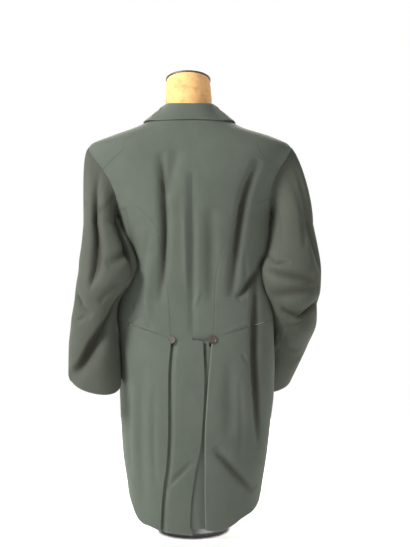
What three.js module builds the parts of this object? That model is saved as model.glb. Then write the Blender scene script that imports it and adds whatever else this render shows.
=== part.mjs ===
// A cut-away tailcoat on a limbless dress form with a short iron stand.
// Millimetres, +Z up.  The coat's back faces +Y, and +X is the wearer's left.
// The origin is the centre of the stand's underside, on the floor.

import * as THREE from 'three';

// ---- Driving dimensions --------------------------------------------------

const WALL = 2.2;              // cloth wall
const SEAM = 0.4;              // gap between two pieces along a seam
const LAYER = 0.5;             // gap between two layers that lie on each other
const SQUARENESS = 0.8;        // 1 is an elliptical section, less is squarer
const WAIST = 449;             // height of the two back buttons
const BUTTON = { radius: 9, thickness: 4.4, rim: 1.1, seat: 0.55 };
const ARMHOLE = { centre: 813, halfHeight: 81, halfTurn: 25, seamAt: 14, sideAt: -31 };
const PLEAT_RETURN = 34;       // cloth folded back under each back pleat
const NECK_TILT = 10.4;         // rise of the form's neck plate at the back

const SHOULDER_STEPS = 8;      // rows along the shoulder seam, and along the side-back seam
const ARMHOLE_STEPS = 26;      // steps of the armhole on the forepart
const ARMHOLE_BACK_STEPS = 4;  // steps of the armhole on the back
const BACK_COLUMNS = 10;
const TAIL_ROWS = 12;
const SKIRT_COLUMNS = 16;

// The coat's outer face: half widths to the wearer's left and right of the
// centre seam, and depths behind and before it, at each height.
const BODY = table(['z', 'left', 'right', 'back', 'front'], [
  [0, 146, 150, 110, 95],
  [60, 148, 155, 112, 98],
  [110, 153, 162, 114, 100],
  [180, 163, 173, 118, 104],
  [250, 168, 181, 120, 106],
  [320, 171, 189, 120, 108],
  [400, 174, 191, 112, 108],
  [449, 176, 189, 101, 106],
  [500, 180, 188, 95, 104],
  [550, 169, 178, 93, 104],
  [580, 154, 169, 93, 106],
  [624, 141, 167, 95, 110],
  [654, 143, 173, 98, 114],
  [690, 156, 177, 103, 118],
  [723, 165, 176, 107, 120],
  [771, 184, 186, 110, 122],
  [808, 206, 202, 110, 118],
  [836, 224, 214, 107, 112],
  [865, 238, 226, 103, 102],
  [896, 240, 225, 96, 88],
  [915, 196, 184, 90, 80],
  [934, 142, 122, 83, 72],
  [953, 101, 85, 75, 64],
  [972, 78, 61, 68, 58],
  [991, 62, 45, 62, 54],
]);

// Deep creases of the body, each a path of x and z on the back, with its depth
// and half width.  A negative depth is a ridge.
const BODY_CREASES = [
  { depth: 8, width: 11, path: [[71, 870], [66, 774], [62, 705], [67, 616], [75, 530]] },
  { depth: 9, width: 10, path: [[-150, 856], [-118, 781], [-103, 687], [-90, 583], [-90, 540]] },
  { depth: 3, width: 9, path: [[0, 830], [0, 460]] },
  { depth: 5, width: 14, path: [[-42, 745], [-42, 530]] },
  { depth: 4, width: 13, path: [[33, 875], [49, 826], [51, 770]] },
  { depth: 8, width: 8, path: [[-166, 636], [-147, 598], [-100, 538]] },
  { depth: 9, width: 10, path: [[-143, 605], [-140, 449], [-141, 349], [-150, 200]] },
  { depth: 6, width: 12, path: [[-47, 210], [-85, 164], [-138, 104]] },
  { depth: 4, width: 15, path: [[-83, 400], [-83, 235]] },
  { depth: -4, width: 11, path: [[92, 640], [104, 560], [104, 480]] },
  { depth: 4, width: 14, path: [[112, 400], [122, 250], [112, 60]] },
];

// Seams and edges on the back, by x and z.
const SIDE_BACK_SEAM = {
  left: [[131, 751], [95, 720], [80, 694], [71, 655], [61, 600], [52, 520], [47, WAIST]],
  right: [[-138, 753], [-113, 732], [-92, 704], [-72, 664], [-56, 610], [-50, 530], [-45.5, WAIST]],
};
const SHOULDER_SEAM = {
  left: [[185, 852], [154, 884], [129, 914], [88, 945]],
  right: [[-180, 846], [-150, 884], [-122, 914], [-74, 945]],
};
const WAIST_SEAM = table(['turn', 'z'], [
  [0, 492], [0.35, 492], [0.6, 490], [0.82, 476], [0.93, 462], [1, WAIST],
]);
const PLEAT_EDGE = {
  left: table(['z', 'x'], [[0, 71], [60, 69], [121, 64], [170, 57], [250, 53], [360, 53], [WAIST, 47]]),
  right: table(['z', 'x'], [[0, -30], [100, -27], [220, -27], [320, -32], [WAIST, -43]]),
};
const VENT_EDGE = {
  left: table(['z', 'x'], [
    [0, -5], [40, 5], [80, 3], [130, -3], [170, -10], [200, -17], [250, -22], [360, -27], [438, -24],
  ]),
  right: table(['z', 'x'], [[0, -8], [100, -4], [200, 6], [300, 12], [445, 12]]),
};
const HEM = {
  left: table(['turn', 'z'], [[0, 21.5], [0.09, 25], [0.2, 29.5], [0.33, 32], [0.48, 40.5], [0.73, 70], [1, 100]]),
  right: table(['turn', 'z'], [
    [0, 24], [0.1, 20.5], [0.24, 27.5], [0.33, 35], [0.42, 44], [0.53, 50.5], [0.67, 57], [0.86, 73], [1, 102],
  ]),
};
const STRIP_HEM = { left: 12.4, right: 26 };  // height of each strip's hem at the vent
const SKIRT_FRONT = table(['z', 'angle'], [[96, 84], [160, 95], [250, 106], [350, 116], [492, 124]]);

// The neck seam and front edge of a forepart, by angle from the centre back.
const NECK_POINT = 38;         // angle at which the shoulder seam meets the neck
const NECK_SEAM = table(['angle', 'z'], [
  [0, 962], [NECK_POINT, 968], [60, 974], [90, 978], [125, 969], [143, 957], [161, 935], [168, 912],
]);
const FRONT_EDGE = table(['z', 'angle'], [
  [492, 167], [600, 163], [700, 165], [800, 168], [860, 170], [912, 168],
]);

// Sleeve rings from just under the armhole to the cuff: centre, half sizes
// across and from front to back, and how much the ring leans across and back.
const SLEEVES = {
  left: table(['z', 'x', 'y', 'across', 'depth', 'leanX', 'leanY'], [
    [712, 209, 12, 46, 62, 0, 0],
    [660, 200.5, 36, 56, 58, 0, 0],
    [615, 197.5, 52, 62, 56, 0, 0],
    [573, 208, 55, 57, 56, 0, 0],
    [526, 221.5, 53, 50, 57, 0.05, -0.1],
    [480, 226.5, 52, 52, 55, 0.1, -0.2],
    [425, 226.5, 56, 56, 52, 0.16, -0.4],
    [359, 224, 64, 58, 45, 0.235, -0.65],
  ]),
  right: table(['z', 'x', 'y', 'across', 'depth', 'leanX', 'leanY'], [
    [712, 231, 8, 49, 62, 0, 0],
    [655, 233, 22, 57, 60, 0, 0],
    [602, 230, 34, 65, 58, 0, 0],
    [561, 233, 32, 61, 59, 0, 0],
    [520, 238, 12, 50, 58, 0, -0.1],
    [478, 242, -22, 49, 55, 0.05, -0.2],
    [428, 228, -68, 50, 50, 0.1, -0.35],
    [330, 194, -124, 48, 45, 0.22, -0.5],
  ]),
};
const HEAD_ROWS = [0.1, 0.26, 0.45, 0.7, 1];
const SLEEVE_ROWS = 11;

// Deep creases of the sleeves, by angle round the sleeve (0 behind, 90 outside)
// and z, on the scale of a half metre per turn of the section.
const SLEEVE_MM_PER_DEGREE = 1.05;
const SLEEVE_CREASES = {
  left: [
    { depth: 9, width: 12, path: [[15, 770], [14, 700], [14, 640], [18, 570]] },
    { depth: 12, width: 11, path: [[-68, 560], [-52, 515], [-8, 454], [26, 395], [62, 372]] },
    { depth: 6, width: 10, path: [[60, 545], [30, 520], [0, 508]] },
    { depth: 6, width: 12, path: [[-70, 655], [-25, 628], [0, 618]] },
  ],
  right: [
    { depth: 7, width: 11, path: [[-70, 606], [0, 590], [52, 582]] },
    { depth: 7, width: 13, path: [[-70, 548], [0, 556], [60, 566]] },
    { depth: 11, width: 9, path: [[85, 536], [30, 512], [0, 500], [-40, 520]] },
    { depth: 7, width: 11, path: [[50, 505], [5, 474], [-30, 478]] },
    { depth: 5, width: 12, path: [[-40, 438], [10, 412], [40, 402]] },
  ],
};

// Collar: where the fold line runs and where the fall's edge lies, from the
// centre back round to the front.
const COLLAR = table(['angle', 'rollX', 'rollY', 'rollZ', 'edgeZ', 'edgeLeft', 'edgeRight'], [
  [0, 0, 63, 982, 945, 0, 0],
  [30, 0.5, 56, 983, 944.5, 12, 13],
  [52, 0.78, 40, 985, 944, 24, 26],
  [72, 0.94, 22, 987, 944.5, 44, 47],
  [90, 1, 0, 987, 946, 74, 76],
  [112, 1, -24, 985, 942, 125, 125],
  [132, 0.99, -46, 974, 926, 149, 149],
  [150, 0.96, -64, 958, 913, 155, 155],
  [160, 0.92, -75, 945, 909, 156.5, 156.5],
]);
const COLLAR_HALF = { left: 65, right: 47 };
const COLLAR_STEPS = 28;
const FALL_CLEARANCE = WALL + 1.2;
const ROLL_RADIUS = 2.9;

const LAPEL = table(['z', 'inner', 'outer'], [
  [902, 168.5, 156], [875, 169.5, 153], [840, 169.5, 154], [790, 167.5, 155], [740, 166, 158], [700, 165, 163],
]);

// The dress form's rings.
const FORM = table(['z', 'x', 'half', 'back', 'front', 'round'], [
  [300, -6, 96, 56, 56, 1],
  [312, -6, 122, 74, 74, 0.95],
  [360, -6, 138, 84, 84, 0.9],
  [449, -8, 140, 78, 88, 0.9],
  [540, -10, 122, 72, 88, 0.9],
  [620, -12, 104, 74, 92, 0.9],
  [690, -6, 122, 82, 98, 0.88],
  [771, 0, 152, 90, 102, 0.85],
  [836, 4, 176, 90, 94, 0.82],
  [880, 6, 188, 84, 80, 0.82],
  [902, 7, 184, 78, 68, 0.82],
  [915, 8, 168, 75, 62, 0.82],
  [934, 9.5, 119, 69, 56, 0.82],
  [953, 8, 82, 62, 50, 0.85],
  [968, 9, 62, 57, 48, 0.9],
  [984, 9.3, 51, 54, 48, 1],
  [1000, 10.4, 54.5, 53, 49, 1],
  [1025, 11, 53.3, 53, 49, 1],
  [1048.5, 11.3, 50.8, 52, 48, 1],
]);
const FORM_SIDES = 24;
const NECK_PLATE = { thickness: 5, overhang: 1.6 };
const POLE_RADIUS = 14;
const BASE = { radius: 84, thickness: 9, hub: 24, hubHeight: 24 };

// ---- Small tools ---------------------------------------------------------

function table(columns, rows) {
  return rows.map((row) => Object.fromEntries(columns.map((name, i) => [name, row[i]])));
}

// A smooth value of one column at a place along another, without overshoot.
function along(rows, by, name, at) {
  const last = rows.length - 1;
  if (at <= rows[0][by]) return rows[0][name];
  if (at >= rows[last][by]) return rows[last][name];
  let k = 0;
  while (at > rows[k + 1][by]) k += 1;
  const slope = (i) => (rows[i + 1][name] - rows[i][name]) / (rows[i + 1][by] - rows[i][by]);
  const tangent = (i) => {
    if (i === 0) return slope(0);
    if (i === last) return slope(last - 1);
    const before = slope(i - 1);
    const after = slope(i);
    return before * after <= 0 ? 0 : (2 * before * after) / (before + after);
  };
  const h = rows[k + 1][by] - rows[k][by];
  const t = (at - rows[k][by]) / h;
  const a = (1 + 2 * t) * (1 - t) ** 2 * rows[k][name] + t * (1 - t) ** 2 * h * tangent(k);
  const b = t * t * (3 - 2 * t) * rows[k + 1][name] + t * t * (t - 1) * h * tangent(k + 1);
  return a + b;
}

const radians = (degrees) => (degrees * Math.PI) / 180;
const mix = (a, b, t) => a + (b - a) * t;
const smooth = (low, high, at) => {
  const t = Math.min(1, Math.max(0, (at - low) / (high - low)));
  return t * t * (3 - 2 * t);
};
const power = (value, exponent) => Math.sign(value) * Math.abs(value) ** exponent;

// How far creases push a surface in at (u, v): deepest halfway along a path.
function creaseDepth(creases, u, v, scale = 1) {
  let total = 0;
  for (const { depth, width, path } of creases) {
    const lengths = [0];
    for (let i = 1; i < path.length; i += 1) {
      const du = (path[i][0] - path[i - 1][0]) * scale;
      lengths.push(lengths[i - 1] + Math.hypot(du, path[i][1] - path[i - 1][1]));
    }
    let nearest = Infinity;
    let place = 0;
    for (let i = 1; i < path.length; i += 1) {
      const [au, av] = [path[i - 1][0] * scale, path[i - 1][1]];
      const [bu, bv] = [path[i][0] * scale - au, path[i][1] - av];
      const t = Math.min(1, Math.max(0, ((u * scale - au) * bu + (v - av) * bv) / (bu * bu + bv * bv)));
      const away = Math.hypot(u * scale - au - t * bu, v - av - t * bv);
      if (away < nearest) {
        nearest = away;
        place = mix(lengths[i - 1], lengths[i], t) / lengths[path.length - 1];
      }
    }
    total += depth * Math.sqrt(Math.max(0, 4 * place * (1 - place))) * Math.exp(-((nearest / width) ** 2));
  }
  return total;
}

// ---- The coat's body surface ---------------------------------------------

// Plain point of the outer face at an angle from the centre back and a height.
function plainBody(angle, z) {
  const half = along(BODY, 'z', angle >= 0 ? 'left' : 'right', z);
  const depth = along(BODY, 'z', Math.abs(angle) <= 90 ? 'back' : 'front', z);
  const x = half * power(Math.sin(radians(angle)), SQUARENESS);
  const y = depth * power(Math.cos(radians(angle)), SQUARENESS);
  return new THREE.Vector3(x, y, z);
}

// The same with its creases, which lie on the back half.
function bodyPoint(angle, z) {
  const point = plainBody(angle, z);
  if (Math.abs(angle) < 100) {
    const inward = new THREE.Vector3(point.x, point.y * 2.2, 0).normalize();
    const fade = 1 - smooth(84, 100, Math.abs(angle));
    point.addScaledVector(inward, -fade * creaseDepth(BODY_CREASES, point.x, z));
  }
  return point;
}

function bodyNormal(angle, z) {
  const turn = 0.6;
  const rise = 1.5;
  const across = bodyPoint(angle + turn, z).sub(bodyPoint(angle - turn, z));
  const up = bodyPoint(angle, z + rise).sub(bodyPoint(angle, z - rise));
  return across.cross(up).normalize().negate();
}

// A place on the cloth, raised or sunk, with the normal of its outer face.
function onBody(angle, z, raise = 0) {
  const n = bodyNormal(angle, z);
  return { p: bodyPoint(angle, z).addScaledVector(n, raise), n };
}

// The angle at which the back has a given x at a height.
function angleAt(x, z) {
  const half = along(BODY, 'z', x >= 0 ? 'left' : 'right', z);
  const share = Math.min(1, Math.abs(x) / half) ** (1 / SQUARENESS);
  return (Math.sign(x) * Math.asin(share) * 180) / Math.PI;
}

const backPath = (points) => points.map(([x, z]) => [angleAt(x, z), z]);

// The armhole's edge: turn 0 is its hindmost point, 90 its top, 270 under the arm.
function armholeEdge(side, turn) {
  const back = power(Math.cos(radians(turn)), 0.85);
  const angle = 90 - ARMHOLE.halfTurn * back;
  return [side * angle, ARMHOLE.centre + ARMHOLE.halfHeight * Math.sin(radians(turn))];
}

// ---- Grids and walls -----------------------------------------------------

// Points of a path of [angle, z], evenly spaced along it.
function resample(path, steps) {
  const lengths = [0];
  for (let i = 1; i < path.length; i += 1) {
    const width = (path[i][0] - path[i - 1][0]) * 2;
    lengths.push(lengths[i - 1] + Math.hypot(width, path[i][1] - path[i - 1][1]));
  }
  const rows = path.map(([angle, z], i) => ({ at: lengths[i], angle, z }));
  const points = [];
  for (let i = 0; i <= steps; i += 1) {
    const at = (lengths[path.length - 1] * i) / steps;
    points.push([along(rows, 'at', 'angle', at), along(rows, 'at', 'z', at)]);
  }
  return points;
}

// A patch between four edges: its rows run from first to last, its columns
// from start to end.  A high sharpness keeps an end's bends near that end.
function patch(first, last, start, end, sharpness = 1) {
  const rows = start.length - 1;
  const columns = first.length - 1;
  return start.map((_, i) => first.map((__, j) => {
    const s = i / rows;
    const t = j / columns;
    return [0, 1].map((k) => {
      const startBend = start[i][k] - mix(first[0][k], last[0][k], s);
      const endBend = end[i][k] - mix(first[columns][k], last[columns][k], s);
      return mix(first[j][k], last[j][k], s) + (1 - t) ** sharpness * startBend + t ** sharpness * endBend;
    });
  }));
}

// Draws a grid's edges back by half a seam's gap, square to each edge.
function trim(grid, by = SEAM / 2) {
  const rows = grid.length - 1;
  const columns = grid[0].length - 1;
  const transpose = grid[0].map((_, j) => grid.map((row) => row[j]));
  const edges = [
    [grid[0], grid[1]], [grid[rows], grid[rows - 1]],
    [transpose[0], transpose[1]], [transpose[columns], transpose[columns - 1]],
  ];
  const moves = [];
  for (const [edge, within] of edges) {
    const ways = edge.map(({ n }, k) => {
      const ahead = edge[Math.min(edge.length - 1, k + 1)].p.clone();
      return ahead.sub(edge[Math.max(0, k - 1)].p).cross(n).normalize();
    });
    let inward = 0;
    edge.forEach(({ p }, k) => { inward += ways[k].dot(within[k].p.clone().sub(p)); });
    edge.forEach((node, k) => moves.push([node, ways[k].multiplyScalar(by * Math.sign(inward))]));
  }
  for (const [node, move] of moves) node.p.add(move);
  return grid;
}

// Normals of a grid of bare points, from its neighbours.
function withNormals(points, flip = 1) {
  const rows = points.length - 1;
  const columns = points[0].length - 1;
  return points.map((row, i) => row.map((p, j) => {
    const across = row[Math.min(columns, j + 1)].clone().sub(row[Math.max(0, j - 1)]);
    const down = points[Math.min(rows, i + 1)][j].clone().sub(points[Math.max(0, i - 1)][j]);
    return { p, n: across.cross(down).normalize().multiplyScalar(flip) };
  }));
}

function meshFrom(points, faces) {
  let volume = 0;
  for (const [a, b, c] of faces) volume += points[a].dot(points[b].clone().cross(points[c]));
  const index = volume >= 0 ? faces.flat() : faces.map(([a, b, c]) => [a, c, b]).flat();
  const geometry = new THREE.BufferGeometry();
  geometry.setAttribute('position', new THREE.Float32BufferAttribute(points.flatMap((p) => p.toArray()), 3));
  geometry.setIndex(index);
  geometry.computeVertexNormals();
  return geometry;
}

// A cloth wall: the grid is its outer face, and the inner face lies inside it.
function wall(grid, thickness = WALL) {
  const rows = grid.length;
  const columns = grid[0].length;
  const points = [];
  for (const row of grid) for (const { p } of row) points.push(p.clone());
  for (const row of grid) for (const { p, n } of row) points.push(p.clone().addScaledVector(n, -thickness));
  const inner = rows * columns;
  const at = (i, j) => i * columns + j;
  const faces = [];
  const quad = (a, b, c, d) => faces.push([a, b, c], [a, c, d]);
  for (let i = 0; i < rows - 1; i += 1) {
    for (let j = 0; j < columns - 1; j += 1) {
      const [a, b, c, d] = [at(i, j), at(i + 1, j), at(i + 1, j + 1), at(i, j + 1)];
      quad(a, b, c, d);
      quad(inner + a, inner + d, inner + c, inner + b);
    }
  }
  for (let i = 0; i < rows - 1; i += 1) {
    quad(at(i + 1, 0), at(i, 0), inner + at(i, 0), inner + at(i + 1, 0));
    const end = columns - 1;
    quad(at(i, end), at(i + 1, end), inner + at(i + 1, end), inner + at(i, end));
  }
  for (let j = 0; j < columns - 1; j += 1) {
    quad(at(0, j), at(0, j + 1), inner + at(0, j + 1), inner + at(0, j));
    const end = rows - 1;
    quad(at(end, j + 1), at(end, j), inner + at(end, j), inner + at(end, j + 1));
  }
  return meshFrom(points, faces);
}

// A solid through closed rings of points, with flat ends.
function throughRings(rings) {
  const sides = rings[0].length;
  const points = rings.flat();
  const faces = [];
  for (let i = 0; i < rings.length - 1; i += 1) {
    for (let j = 0; j < sides; j += 1) {
      const [a, b] = [i * sides + j, i * sides + ((j + 1) % sides)];
      faces.push([a, b, b + sides], [a, b + sides, a + sides]);
    }
  }
  for (const [start, flipped] of [[0, true], [(rings.length - 1) * sides, false]]) {
    const middle = new THREE.Vector3();
    for (let j = 0; j < sides; j += 1) middle.addScaledVector(points[start + j], 1 / sides);
    points.push(middle);
    for (let j = 0; j < sides; j += 1) {
      const [a, b] = [start + j, start + ((j + 1) % sides)];
      faces.push(flipped ? [b, a, points.length - 1] : [a, b, points.length - 1]);
    }
  }
  return meshFrom(points, faces);
}

// ---- Materials and the group ---------------------------------------------

const WOOL = new THREE.MeshStandardMaterial({ color: '#7b8078', roughness: 0.85, metalness: 0 });
const HORN = new THREE.MeshStandardMaterial({ color: '#6a625a', roughness: 0.4, metalness: 0 });
const LINEN = new THREE.MeshStandardMaterial({ color: '#e5bd86', roughness: 0.8, metalness: 0 });
const DARK_WOOD = new THREE.MeshStandardMaterial({ color: '#4a443c', roughness: 0.6, metalness: 0 });
const IRON = new THREE.MeshStandardMaterial({ color: '#2b2b2b', roughness: 0.5, metalness: 0.6 });

const tailcoat = new THREE.Group();

function add(name, geometry, material) {
  const mesh = new THREE.Mesh(geometry, material);
  mesh.name = name;
  tailcoat.add(mesh);
  return mesh;
}

const SIDES = [{ name: 'left', side: 1 }, { name: 'right', side: -1 }];

// ---- Seams that two pieces share -----------------------------------------

const armholeTurn = (k) => {
  const sweep = 360 + ARMHOLE.sideAt - ARMHOLE.seamAt;
  return ARMHOLE.seamAt + (sweep * k) / ARMHOLE_STEPS;
};

function seams({ name, side }) {
  const top = armholeEdge(side, ARMHOLE.seamAt);
  const under = armholeEdge(side, ARMHOLE.sideAt);
  const neck = [side * NECK_POINT, along(NECK_SEAM, 'angle', 'z', NECK_POINT)];
  const shoulder = resample([top, ...backPath(SHOULDER_SEAM[name]), neck], SHOULDER_STEPS);
  const sideBack = resample([under, ...backPath(SIDE_BACK_SEAM[name])], SHOULDER_STEPS);
  const armholeBack = [];
  for (let i = 0; i <= ARMHOLE_BACK_STEPS; i += 1) {
    const turn = mix(ARMHOLE.sideAt, ARMHOLE.seamAt, i / ARMHOLE_BACK_STEPS);
    armholeBack.push(armholeEdge(side, turn));
  }
  const armhole = [];
  for (let k = 0; k <= ARMHOLE_STEPS; k += 1) armhole.push(armholeEdge(side, armholeTurn(k)));
  return { shoulder, sideBack, armholeBack, armhole };
}

// ---- Forepart: from the side-back seam round to the front edge ------------

const NECK_STEPS = 8;
const FRONT_STEPS = 8;
const WAIST_STEPS = ARMHOLE_STEPS - NECK_STEPS - FRONT_STEPS;

function waistSeam(side, seam, steps) {
  const back = Math.abs(seam.sideBack[SHOULDER_STEPS][0]);
  const front = FRONT_EDGE[0].angle;
  const points = [];
  for (let i = 0; i <= steps; i += 1) {
    const turn = i / steps;
    const angle = mix(front, back, turn ** 0.85);
    points.push([side * angle, along(WAIST_SEAM, 'turn', 'z', turn ** 0.85)]);
  }
  return points;
}

function forepart(which) {
  const seam = seams(which);
  const { side } = which;
  const neckStart = seam.shoulder[SHOULDER_STEPS];
  const neck = [];
  for (let i = 0; i <= NECK_STEPS; i += 1) {
    const angle = mix(Math.abs(neckStart[0]), FRONT_EDGE[FRONT_EDGE.length - 1].angle, i / NECK_STEPS);
    neck.push([side * angle, along(NECK_SEAM, 'angle', 'z', angle)]);
  }
  neck[0] = neckStart;
  const front = [];
  for (let i = 1; i <= FRONT_STEPS; i += 1) {
    const z = mix(neck[NECK_STEPS][1], WAIST_SEAM[0].z, i / FRONT_STEPS);
    front.push([side * along(FRONT_EDGE, 'z', 'angle', z), z]);
  }
  const waist = waistSeam(side, seam, WAIST_STEPS).slice(1);
  const outline = [...neck, ...front, ...waist];
  outline[outline.length - 1] = seam.sideBack[SHOULDER_STEPS];
  const grid = patch(seam.armhole, outline, seam.shoulder, seam.sideBack, 5);
  return wall(trim(grid.map((row) => row.map(([angle, z]) => onBody(angle, z)))));
}

// ---- Back: centre seam to side-back seam, with its tail strip to the hem ---

// How far the tail strips sink under each other and under the pleats, where
// they start a little under the waist.
const STRIP_SINK = 1.4;
const PLEAT_START = WAIST - 40;

function tailSink({ name, side }, x, z) {
  const lapped = name === 'left' ? STRIP_SINK : STRIP_SINK + WALL + 2 * LAYER;
  const centre = lapped * (1 - smooth(WAIST - 2, WAIST + 26, z));
  const folded = 2 * WALL + 2 * LAYER + 0.8;
  const pleat = Math.abs(along(PLEAT_EDGE[name], 'z', 'x', z));
  const underPleat = smooth(pleat - 16, pleat - 3, side * x) * (1 - smooth(PLEAT_START, WAIST - 6, z));
  return mix(centre, Math.max(folded, centre), underPleat);
}

const CENTRE_ROWS = table(['row', 'z'], [
  [0, WAIST], [SHOULDER_STEPS, 750], [SHOULDER_STEPS + ARMHOLE_BACK_STEPS, 808],
  [2 * SHOULDER_STEPS + ARMHOLE_BACK_STEPS, NECK_SEAM[0].z],
]);

function back(which) {
  const { name, side } = which;
  const seam = seams(which);
  const edge = [...seam.sideBack].reverse();
  edge.push(...seam.armholeBack.slice(1), ...seam.shoulder.slice(1));
  const centre = edge.map((_, i) => [0, along(CENTRE_ROWS, 'row', 'z', i)]);
  const waist = [];
  const neck = [];
  for (let j = 0; j <= BACK_COLUMNS; j += 1) {
    const t = j / BACK_COLUMNS;
    waist.push([edge[0][0] * t, WAIST]);
    neck.push([side * NECK_POINT * t, along(NECK_SEAM, 'angle', 'z', NECK_POINT * t)]);
  }
  const upper = patch(waist, neck, centre, edge);
  const ventTop = VENT_EDGE[name][VENT_EDGE[name].length - 1].z;
  const tail = [];
  for (let i = 0; i <= TAIL_ROWS; i += 1) {
    const t = i / TAIL_ROWS;
    const row = [];
    for (let j = 0; j <= BACK_COLUMNS; j += 1) {
      const z = mix(mix(STRIP_HEM[name], HEM[name][0].z, j / BACK_COLUMNS), ventTop, t);
      const tucked = PLEAT_RETURN * 0.8 * (1 - smooth(PLEAT_START - 70, PLEAT_START, z));
      const pleat = along(PLEAT_EDGE[name], 'z', 'x', z) + side * (tucked - 4);
      const x = mix(along(VENT_EDGE[name], 'z', 'x', z), pleat, j / BACK_COLUMNS);
      row.push([angleAt(x, z), z]);
    }
    tail.push(row);
  }
  return { upper, tail };
}

function placeBack(which) {
  const { upper, tail } = back(which);
  const place = ([angle, z]) => onBody(angle, z, -tailSink(which, bodyPoint(angle, z).x, z));
  return {
    upper: trim(upper.map((row) => row.map(place))),
    tail: trim(tail.map((row) => row.map(place)), 0.05),
  };
}

// The strip's top row joins the upper's bottom row where both have cloth.
function backSolid(which) {
  const { upper, tail } = placeBack(which);
  const rows = [...tail.slice(0, -1), upper[0], ...upper.slice(1)];
  return wall(rows);
}

// ---- Skirt: from the back pleat round to its cut-away front edge -----------

function skirt(which) {
  const { name, side } = which;
  const seam = seams(which);
  const waist = waistSeam(side, seam, WAIST_STEPS).reverse();
  const kept = waist.filter(([angle]) => Math.abs(angle) < SKIRT_FRONT[SKIRT_FRONT.length - 1].angle + 1);
  const top = [];
  for (let j = 0; j <= SKIRT_COLUMNS; j += 1) {
    const at = mix(0.15, kept.length - 1, j / SKIRT_COLUMNS);
    const k = Math.min(kept.length - 2, Math.floor(at));
    top.push([0, 1].map((c) => mix(kept[k][c], kept[k + 1][c], at - k)));
  }
  const rows = TAIL_ROWS;
  const frontTop = top[SKIRT_COLUMNS];
  const hemFront = HEM[name][HEM[name].length - 1].z;
  const pleatHem = HEM[name][0].z;
  const pleat = [];
  const front = [];
  for (let i = 0; i <= rows; i += 1) {
    const t = i / rows;
    const z = mix(top[0][1], pleatHem, t);
    pleat.push([angleAt(along(PLEAT_EDGE[name], 'z', 'x', z) + side * 2.5, z), z]);
    const frontZ = mix(frontTop[1], hemFront, t);
    const swept = along(SKIRT_FRONT, 'z', 'angle', frontZ);
    front.push([side * mix(Math.abs(frontTop[0]), swept, smooth(0, 0.25, t)), frontZ]);
  }
  pleat[0] = top[0];
  const hem = [];
  for (let j = 0; j <= SKIRT_COLUMNS; j += 1) {
    const t = j / SKIRT_COLUMNS;
    hem.push([mix(pleat[rows][0], front[rows][0], t), along(HEM[name], 'turn', 'z', t)]);
  }
  hem[0] = pleat[rows];
  hem[SKIRT_COLUMNS] = front[rows];
  return patch(top, hem, pleat, front);
}

// The pleat turns under itself at the back edge.
const TURN_STEPS = 4;
const RETURN_COLUMNS = 2;

function skirtSolid(which) {
  const { side } = which;
  const grid = skirt(which);
  const placed = trim(grid.map((row) => row.map(([angle, z]) => onBody(angle, z))), SEAM * 0.7);
  const radius = WALL + LAYER / 2;
  const folded = placed.map((row, i) => {
    const opening = smooth(0, 2, i);
    const edge = row[0];
    const way = row[0].p.clone().sub(row[1].p).normalize();
    const under = [];
    for (let k = RETURN_COLUMNS; k >= 1; k -= 1) {
      const reach = (PLEAT_RETURN * mix(0.35, 1, opening) * k) / RETURN_COLUMNS;
      const [angle, z] = grid[i][0];
      const along0 = angleAt(bodyPoint(angle, z).x + side * reach, z);
      const spot = onBody(along0, z, -2 * radius);
      spot.p.z = edge.p.z;
      under.push({ p: spot.p, n: spot.n.clone().negate() });
    }
    const centre = edge.p.clone().addScaledVector(edge.n, -radius);
    for (let k = TURN_STEPS; k >= 1; k -= 1) {
      const turn = (Math.PI * k) / TURN_STEPS;
      const n = edge.n.clone().multiplyScalar(Math.cos(turn)).addScaledVector(way, Math.sin(turn)).normalize();
      under.push({ p: centre.clone().addScaledVector(n, radius), n });
    }
    return [...under, ...row];
  });
  return wall(folded);
}

// ---- Sleeves: a top sleeve and an under sleeve from the same rings ---------

const SLEEVE_SIDES = ARMHOLE_STEPS + ARMHOLE_BACK_STEPS;

function sleeveTurns() {
  const turns = [];
  for (let k = 0; k <= ARMHOLE_STEPS; k += 1) turns.push(armholeTurn(k));
  for (let i = 1; i < ARMHOLE_BACK_STEPS; i += 1) {
    turns.push(360 + mix(ARMHOLE.sideAt, ARMHOLE.seamAt, i / ARMHOLE_BACK_STEPS));
  }
  return turns;
}

function sleeveRing({ name, side }, z, turn) {
  const rows = SLEEVES[name];
  const get = (column) => along([...rows].reverse(), 'z', column, z);
  const out = power(Math.sin(radians(turn)), 0.9);
  const behind = power(Math.cos(radians(turn)), 0.9);
  const signed = ((turn + 180) % 360) - 180;
  const crease = creaseDepth(SLEEVE_CREASES[name], signed, z, SLEEVE_MM_PER_DEGREE);
  const shrink = 1 - crease / 60;
  const dx = get('across') * out * shrink;
  const dy = get('depth') * behind * shrink;
  const lean = get('leanX') * dx + get('leanY') * dy;
  return new THREE.Vector3(side * (get('x') + dx), get('y') + dy, z + lean);
}

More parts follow.
